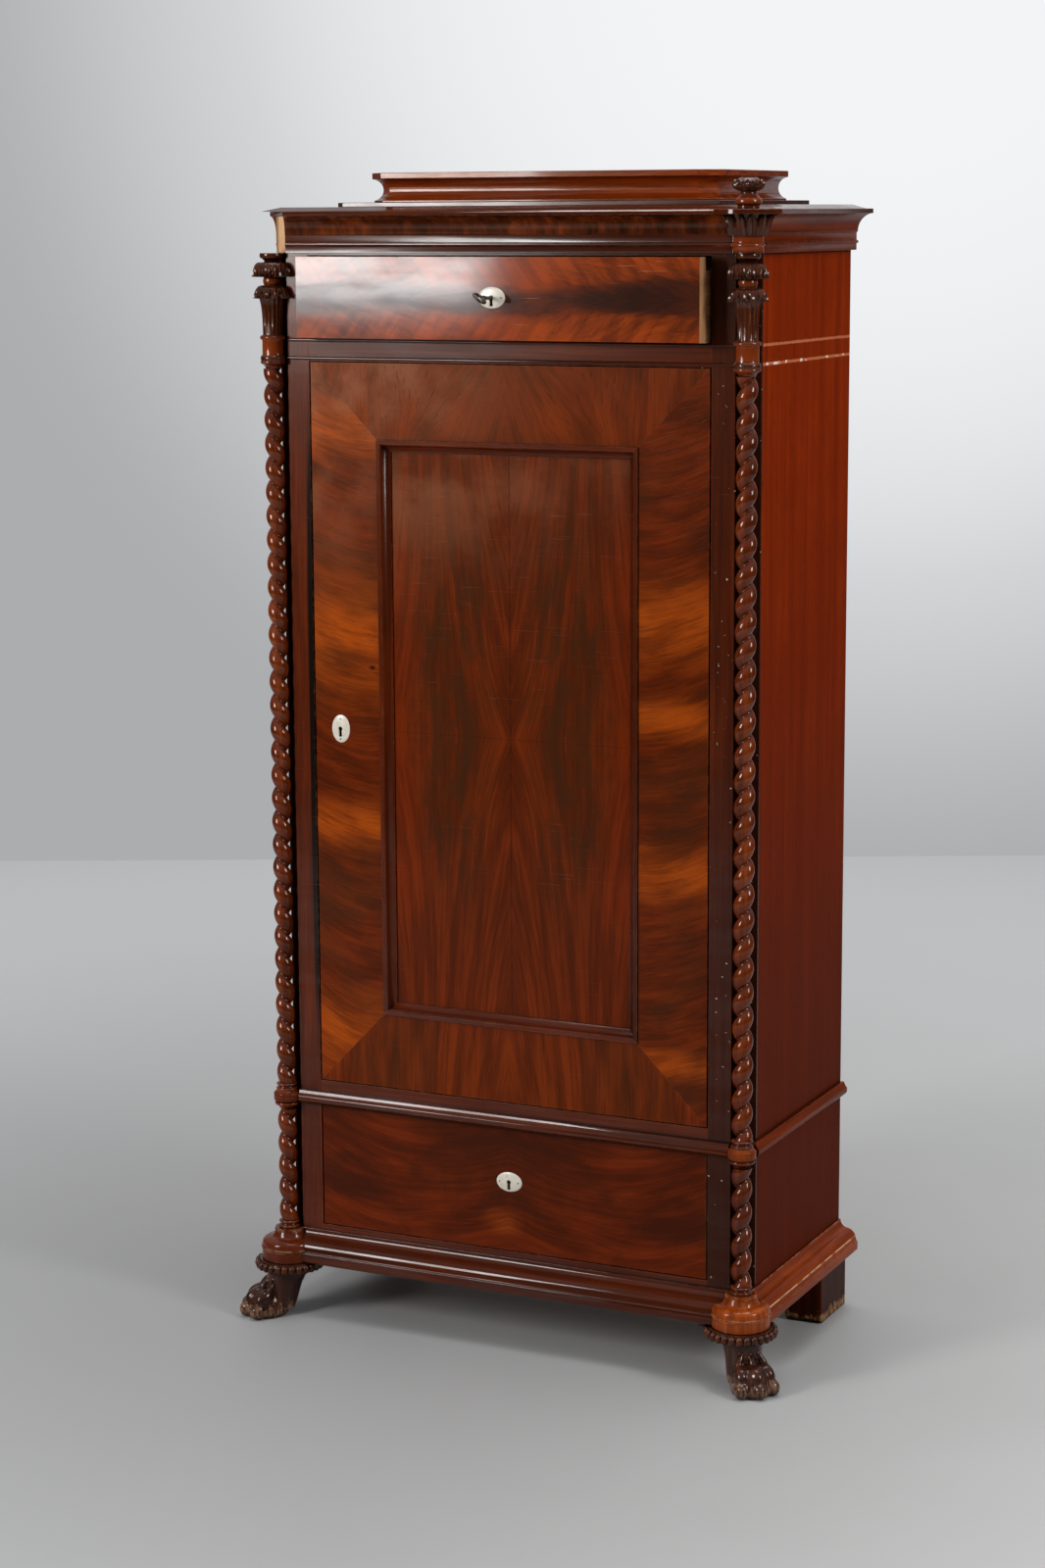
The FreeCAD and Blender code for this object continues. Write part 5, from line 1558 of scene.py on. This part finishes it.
@dataclass
class PawFeet:
    """Two carved paws set at 45 degrees, with gadrooned collars and wings under the plinth."""

    finishes: Finishes
    height: float = 0.082
    reach: float = 0.064
    half_width: float = 0.0315
    collar_radius: float = 0.051
    collar_height: float = 0.015
    collar_steps: int = 90
    gadroons: int = 28
    wing_length: float = 0.056
    wing_thickness: float = 0.030
    knuckle: tuple[float, float, float] = (0.0175, 0.0106, 0.0128)
    knuckle_dip: float = math.radians(30)
    toe: tuple[float, float, float] = (0.0132, 0.0106, 0.0122)
    sinew: tuple[float, float] = (0.0046, 0.0050)
    lobe: tuple[float, float, float] = (0.0045, 0.0051, 0.0066)
    leg_sides: int = 36
    sole: float = 0.0004
    voxel: float = 0.0011

    def build(self) -> None:
        """Carve the paws and their collars."""
        self.paws()
        self.collars()

    def at_corner(self, shape: Shape) -> None:
        """Turn a shape to point out of the right corner, put it there and mirror it.

        Args:
            shape: A shape that points along x.
        """
        bmesh.ops.rotate(shape.bm, verts=shape.bm.verts[:], cent=(0, 0, 0),
                         matrix=Matrix.Rotation(math.radians(-45), 3, "Z"))
        bmesh.ops.translate(shape.bm, verts=shape.bm.verts[:], vec=Side.RIGHT.axis)
        shape.mirror()

    def leg(self, shape: Shape) -> None:
        """Bridge the leg through level ovals from the pad up to the collar.

        Args:
            shape: The mesh to add it to.
        """
        stations = (
            (0.010, 0.019, 0.024, 0.026), (0.024, 0.016, 0.0262, 0.0258), (0.036, 0.0125, 0.0262, 0.0252),
            (0.047, 0.009, 0.0264, 0.0252), (0.058, 0.005, 0.029, 0.0265), (0.066, 0.002, 0.032, 0.030),
            (0.074, 0.0, 0.036, 0.033),
        )
        edges: list[bmesh.types.BMEdge] = []
        for level, forward, along, across in stations:
            matrix = Matrix.Translation((forward, 0, level)) @ Matrix.Diagonal((along, across, 1, 1))
            made = bmesh.ops.create_circle(shape.bm, segments=self.leg_sides, radius=1.0, matrix=matrix)
            edges += shape.edges_of(made["verts"])
        bmesh.ops.bridge_loops(shape.bm, edges=edges)
        shape.close_rims(shape.bm.edges)

    def paws(self) -> None:
        """Palm, three broad toes with a knuckle and a sinew each, and the wings."""
        shape = Shape()
        self.leg(shape)
        self.wings(shape)
        shape.ball((0.57 * self.reach, 0, 0.0115), (0.5 * self.reach, self.half_width * 0.9, 0.031))
        for forward, aside, spread in ((0.86, -0.68, -20), (1.0, 0.0, 0), (0.86, 0.68, 20)):
            heading = Matrix.Rotation(math.radians(spread), 4, "Z")
            foot = Vector((forward * self.reach, aside * self.half_width, 0))
            dip = heading @ Matrix.Rotation(self.knuckle_dip, 4, "Y")
            shape.ball(foot + heading.to_3x3() @ Vector((-0.0125, 0, 0.0275)), self.knuckle, dip)
            shape.ball(foot + Vector((-0.001, 0, 0.0112)), self.toe, heading)
            top = Vector((0.0285, 0.5 * aside * self.half_width, 0.053))
            low = foot + Vector((-0.016, 0, 0.034))
            lean = (low - top).to_track_quat("X", "Z").to_matrix().to_4x4()
            shape.ball((top + low) / 2, ((low - top).length * 0.72, *self.sinew), lean)
        bmesh.ops.bisect_plane(shape.bm, geom=shape.bm.verts[:] + shape.bm.edges[:] + shape.bm.faces[:],
                               plane_co=(0, 0, self.sole), plane_no=(0, 0, -1), clear_outer=True)
        shape.close_rims(shape.bm.edges)
        self.at_corner(shape)
        made = shape.publish("front_paws", Place("case", "carved_mahogany", ("paw_feet",)),
                             [self.finishes.paw], sharp=180.0)
        fuse = made.modifiers.new("one_block", "REMESH")
        fuse.mode = "VOXEL"
        fuse.voxel_size = self.voxel
        fuse.use_smooth_shade = True
        rub = made.modifiers.new("rubbed", "SMOOTH")
        rub.factor = 0.5
        rub.iterations = 4

    def collars(self) -> None:
        """A turned ring whose edge is carved in small upright lobes."""
        shape = Shape()
        low = self.height - self.collar_height
        profile = [
            (0, 0), (0.8, 0), (0.86, 0.06), (0.9, 0.2), (0.915, 0.4), (0.9, 0.62), (0.86, 0.8), (0.85, 1.0),
            (0, 1.0),
        ]
        shape.turn_on_lathe(scaled(profile, self.collar_radius, low, self.collar_height), Vector(),
                            self.collar_steps)
        lobe = shape.ball((self.collar_radius * 0.905, 0, low + 0.5 * self.collar_height), self.lobe, rings=8)
        shape.repeat_round(lobe, Vector(), self.gadroons)
        self.at_corner(shape)
        shape.publish("paw_collars", Place("case", "carved_mahogany"), [self.finishes.carved], sharp=60.0)

    def wings(self, shape: Shape) -> None:
        """Add the two brackets that run back from the leg under the plinth.

        Args:
            shape: The mesh to add them to.
        """
        outline = [
            (0, 1), (0, 0.55), (0.22, 0.55), (0.26, 0.6), (0.338, 0.671), (0.446, 0.749), (0.57, 0.818),
            (0.705, 0.874), (0.85, 0.92), (1, 0.95), (1, 1),
        ]
        half = self.wing_thickness / 2
        for degrees in (135, -135):
            before = set(shape.bm.verts)
            edge = [shape.bm.verts.new((x * self.wing_length, -half, z * self.height)) for x, z in outline]
            face = shape.bm.faces.new(edge)
            pulled = bmesh.ops.extrude_face_region(shape.bm, geom=[face], use_keep_orig=True)
            far = [item for item in pulled["geom"] if isinstance(item, bmesh.types.BMVert)]
            bmesh.ops.translate(shape.bm, verts=far, vec=(0, self.wing_thickness, 0))
            bmesh.ops.rotate(shape.bm, verts=shape.added(before), cent=(0, 0, 0),
                             matrix=Matrix.Rotation(math.radians(degrees), 3, "Z"))


PIN_RADII = (0.0014, 0.0006, 0.0014)
PIN_DEPTH = 0.0011
PIN_REACH = 0.72


def keyhole_plate(name: str, node: str, body: str, finishes: Finishes, upright: bool) -> None:
    """An oval bone plate with a keyhole and two iron pins.

    Args:
        name: The piece's name.
        node: The node that it stands for.
        body: The body that it moves with.
        finishes: The cabinet's finishes.
        upright: Whether the oval stands on end.
    """
    low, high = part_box(node)
    shape = Shape.of_nodes(node)
    middle, half = (low + high) / 2, (high - low) / 2
    away = Vector((0, 0, half.z * PIN_REACH)) if upright else Vector((half.x * PIN_REACH, 0, 0))
    for sign in (-1, 1):
        seat = middle + sign * away
        pin = shape.ball((seat.x, low.y + PIN_DEPTH, seat.z), PIN_RADII, rings=8)
        for face in shape.faces_of(pin):
            face.material_index = 1
    shape.publish(name, Place(body, "bone", (node,)), [finishes.bone, finishes.iron], sharp=40.0)


@dataclass
class Door:
    """The door: mitred veneered frame, matched panel, bead moulding, lock and pivots."""

    finishes: Finishes
    half_width: float = 0.294
    low: float = 0.34935
    high: float = 1.35865
    veneer_ease: float = 0.0006
    bead_ease: float = 0.0005

    def build(self) -> None:
        """Build the door's pieces."""
        look = self.finishes
        self.frame_members()
        eased("door_matched_panel", ["door_panel"], look.panel, "door", "mahogany_veneer", self.veneer_ease)
        shape = Shape.of_nodes("panel_moulding")
        for face in shape.bm.faces:
            face.material_index = 1 if self.upright(face.calc_center_median()) else 0
        shape.publish("door_panel_bead", Place("door", "mahogany", ("panel_moulding",)),
                      [look.rail, look.stile], self.bead_ease)
        keyhole_plate("door_keyhole_plate", "door_escutcheon", "door", look, upright=True)
        for node in ("door_lock", "door_hinge_plates", "door_bolt"):
            dress_node(node, look.iron)

    def upright(self, centre: Vector) -> bool:
        """Whether a point lies on the upright side of the mitres.

        Args:
            centre: The point.

        Returns:
            True on the stiles and False on the rails.
        """
        beside = self.half_width - abs(centre.x)
        level = min(centre.z - self.low, self.high - centre.z)
        return beside < level

    def frame_members(self) -> None:
        """The frame, with short grain running across every member."""
        shape = Shape.of_nodes("door_frame")
        for face in shape.bm.faces:
            if face.normal.y > 0.5:
                face.material_index = 2
            elif self.upright(face.calc_center_median()):
                face.material_index = 1
        look = self.finishes
        shape.publish("door_mitred_frame", Place("door", "mahogany_veneer", ("door_frame",)),
                      [look.door_rail, look.door_stile, look.raw_z], self.veneer_ease)


@dataclass
class Drawer:
    """A drawer with a veneered front, bare sides and a bone keyhole plate."""

    word: str
    front: bpy.types.Material
    finishes: Finishes
    front_ease: float = 0.0009
    wall_ease: float = 0.0008

    def build(self) -> None:
        """Build the drawer's pieces."""
        look, body = self.finishes, f"{self.word}_drawer"
        shape = Shape.of_nodes(f"{body}_front")
        for face in shape.bm.faces:
            if abs(face.normal.x) > 0.7 or face.normal.y > 0.5:
                face.material_index = 1
        shape.publish(f"{body}_face", Place(body, "mahogany_veneer", (f"{body}_front",)),
                      [self.front, look.raw_z], self.front_ease)
        eased(f"{body}_walls", [f"{body}_sides"], look.raw_y, body, "inner_wood", self.wall_ease)
        dress_node(f"{body}_bottom", look.raw_x)
        for part in ("lock", "bolt"):
            dress_node(f"{body}_{part}", look.iron)
        keyhole_plate(f"{body}_keyhole_plate", f"{body}_escutcheon", body, look, upright=False)


@dataclass
class Key:
    """The iron key in the top drawer."""

    finishes: Finishes
    bow_length: float = 0.021
    bow_turn: float = math.radians(40)

    def build(self) -> None:
        """Show the forged key with its bow turned out of the level, as it was twisted in use."""
        low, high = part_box("top_drawer_key")
        shape = Shape.of_nodes("top_drawer_key")
        bow = [vert for vert in shape.bm.verts if vert.co.y < low.y + self.bow_length]
        middle = Vector((0.0, low.y, (low.z + high.z) / 2))
        bmesh.ops.rotate(shape.bm, verts=bow, cent=middle, matrix=Matrix.Rotation(self.bow_turn, 3, "Y"))
        shape.publish("drawer_key", Place("key", "iron", ("top_drawer_key",)), [self.finishes.iron])


@dataclass
class Studio:
    """Pale floor, soft lamps, backdrop light and the camera."""

    eye: Vector = Vector((1.86879, -3.970245, 1.555995))
    yaw: float = math.radians(25.705)
    pitch: float = math.radians(10.1125)
    roll: float = math.radians(-0.3083)
    lens: float = 73.42
    film_width: float = 36.0
    floor_half: float = 3.3
    left_shade_tone: Colour = srgb(142, 142, 142)
    right_lit_tone: Colour = srgb(166, 166, 165)
    far_lit_tone: Colour = srgb(203, 204, 204)
    scuffed: Colour = srgb(140, 138, 136)
    bright_way: tuple[float, float, float] = (-0.33, 0.94, 0.085)

    def build(self) -> None:
        """Build the stage."""
        bpy.context.scene.view_settings.view_transform = "Standard"
        self.camera()
        self.floor()
        self.world()
        self.lamp("front_left_softbox", (-1.95, -3.0, 1.98), (-0.1, -0.1, 1.2), (1.0, 1.3), 100.0)
        self.lamp("right_softbox", (3.1, -0.55, 2.3), (0.3, 0.0, 1.0), (0.7, 1.1), 52.0)
        self.lamp("overhead_softbox", (0.2, 0.3, 4.2), (0.0, 0.1, 0.0), (2.4, 2.4), 92.0)

    def camera(self) -> None:
        """Stand the camera where the cabinet is seen from."""
        level = math.cos(self.pitch)
        forward = Vector((-math.sin(self.yaw) * level, math.cos(self.yaw) * level, -math.sin(self.pitch)))
        right = Vector((math.cos(self.yaw), math.sin(self.yaw), 0.0))
        up = right.cross(forward)
        rolled = right * math.cos(self.roll) + up * math.sin(self.roll)
        upright = up * math.cos(self.roll) - right * math.sin(self.roll)
        turn = Matrix((rolled, upright, -forward)).transposed().to_4x4()
        data = bpy.data.cameras.new("studio_camera")
        data.lens = self.lens
        data.sensor_width = self.film_width
        made = bpy.data.objects.new("studio_camera", data)
        made.matrix_world = Matrix.Translation(self.eye) @ turn
        bpy.context.scene.collection.objects.link(made)
        bpy.context.scene.camera = made

    def floor(self) -> None:
        """A pale floor, square to the camera, darker to the left and lighter to the right and far away with
        painted light and shade.
        """
        bm = bmesh.new()
        bmesh.ops.create_grid(bm, x_segments=8, y_segments=8, size=self.floor_half,
                              matrix=Matrix.Rotation(self.yaw, 4, "Z"))
        mesh = bpy.data.meshes.new("studio_floor")
        bm.to_mesh(mesh)
        bm.free()
        material, net = Net.of_material("studio_floor")
        scuff = net.spread(net.noise(net.position(), 2.2, 5.0), 0.35, 0.7)
        # painted light and shade: the floor darkens to the left and lightens to the right
        aside = net.dot(net.position(), (math.cos(self.yaw), math.sin(self.yaw), 0.0))
        plain = net.mix(net.spread(aside, -0.9, 0.9), self.left_shade_tone, self.right_lit_tone)
        colour = net.mix(scuff * 0.12, plain, self.scuffed)
        # painted light: the floor lightens far from the cabinet
        away = net.wire("ShaderNodeVectorMath", {0: net.position()}, "Value", operation="LENGTH")
        colour = net.mix(net.spread(away, 0.6, 3.4), colour, self.far_lit_tone)
        net.surface({"Base Color": colour, "Roughness": 0.6})
        mesh.materials.append(material)
        made = bpy.data.objects.new("studio_floor", mesh)
        bpy.context.scene.collection.objects.link(made)

    def world(self) -> None:
        """A pale backdrop for the camera and for reflections of it, and dimmer light, mostly from above."""
        world = bpy.data.worlds.new("studio")
        world.use_nodes = True
        bpy.context.scene.world = world
        net = Net(world.node_tree)
        heading = net.wire("ShaderNodeTexCoord", output="Generated")
        toward = net.dot(heading, tuple(Vector(self.bright_way).normalized()))
        backdrop = net.ramp(net.spread(toward, 0.955, 1.0), [
            (0.0, srgb(172, 173, 175)), (0.6, srgb(210, 212, 214)), (1.0, srgb(242, 244, 246))])
        _, _, height = net.split(heading)
        ambient = net.ramp(net.spread(height, 0.0, 0.9), [
            (0.0, (0.05, 0.05, 0.052, 1.0)), (1.0, (0.6, 0.61, 0.63, 1.0))])
        path = {socket.name: Wire(net, socket) for socket in net.node("ShaderNodeLightPath").outputs}
        wall = net.spread(toward, 0.75, 0.9)
        mirrored = net.larger(path["Is Glossy Ray"], path["Is Transmission Ray"])
        seen = net.larger(path["Is Camera Ray"], mirrored * wall)
        colour = net.mix(seen, ambient, backdrop)
        shader = net.wire("ShaderNodeBackground", {"Color": colour, "Strength": 1.0})
        net.node("ShaderNodeOutputWorld", {"Surface": shader})

    def lamp(self, name: str, place: Sequence[float], target: Sequence[float], size: tuple[float, float],
             power: float) -> None:
        """A softbox.

        Args:
            name: Its name.
            place: Where it hangs.
            target: The point that it faces.
            size: Its width and height.
            power: Its power in watts.
        """
        data = bpy.data.lights.new(name, "AREA")
        data.shape = "RECTANGLE"
        data.size, data.size_y = size
        data.energy = power
        made = bpy.data.objects.new(name, data)
        heading = Vector(target) - Vector(place)
        made.matrix_world = Matrix.Translation(place) @ heading.to_track_quat("-Z", "Y").to_matrix().to_4x4()
        bpy.context.scene.collection.objects.link(made)


def main() -> None:
    """Build the cabinet's looks and the studio around it."""
    logging.basicConfig(level=logging.INFO, format="%(name)s: %(message)s")
    finishes = Finishes()
    Studio().build()
    Carcass(finishes).build()
    Mouldings(finishes).build()
    for side in Side:
        Column(side, finishes).build()
        Head(side, finishes).build()
    Blocks(finishes, Column(Side.RIGHT, finishes)).build()
    Crown(finishes).build()
    PawFeet(finishes).build()
    Door(finishes).build()
    Drawer("top", finishes.top_front, finishes).build()
    Drawer("bottom", finishes.low_front, finishes).build()
    Key(finishes).build()


if __name__ == "__main__":
    main()
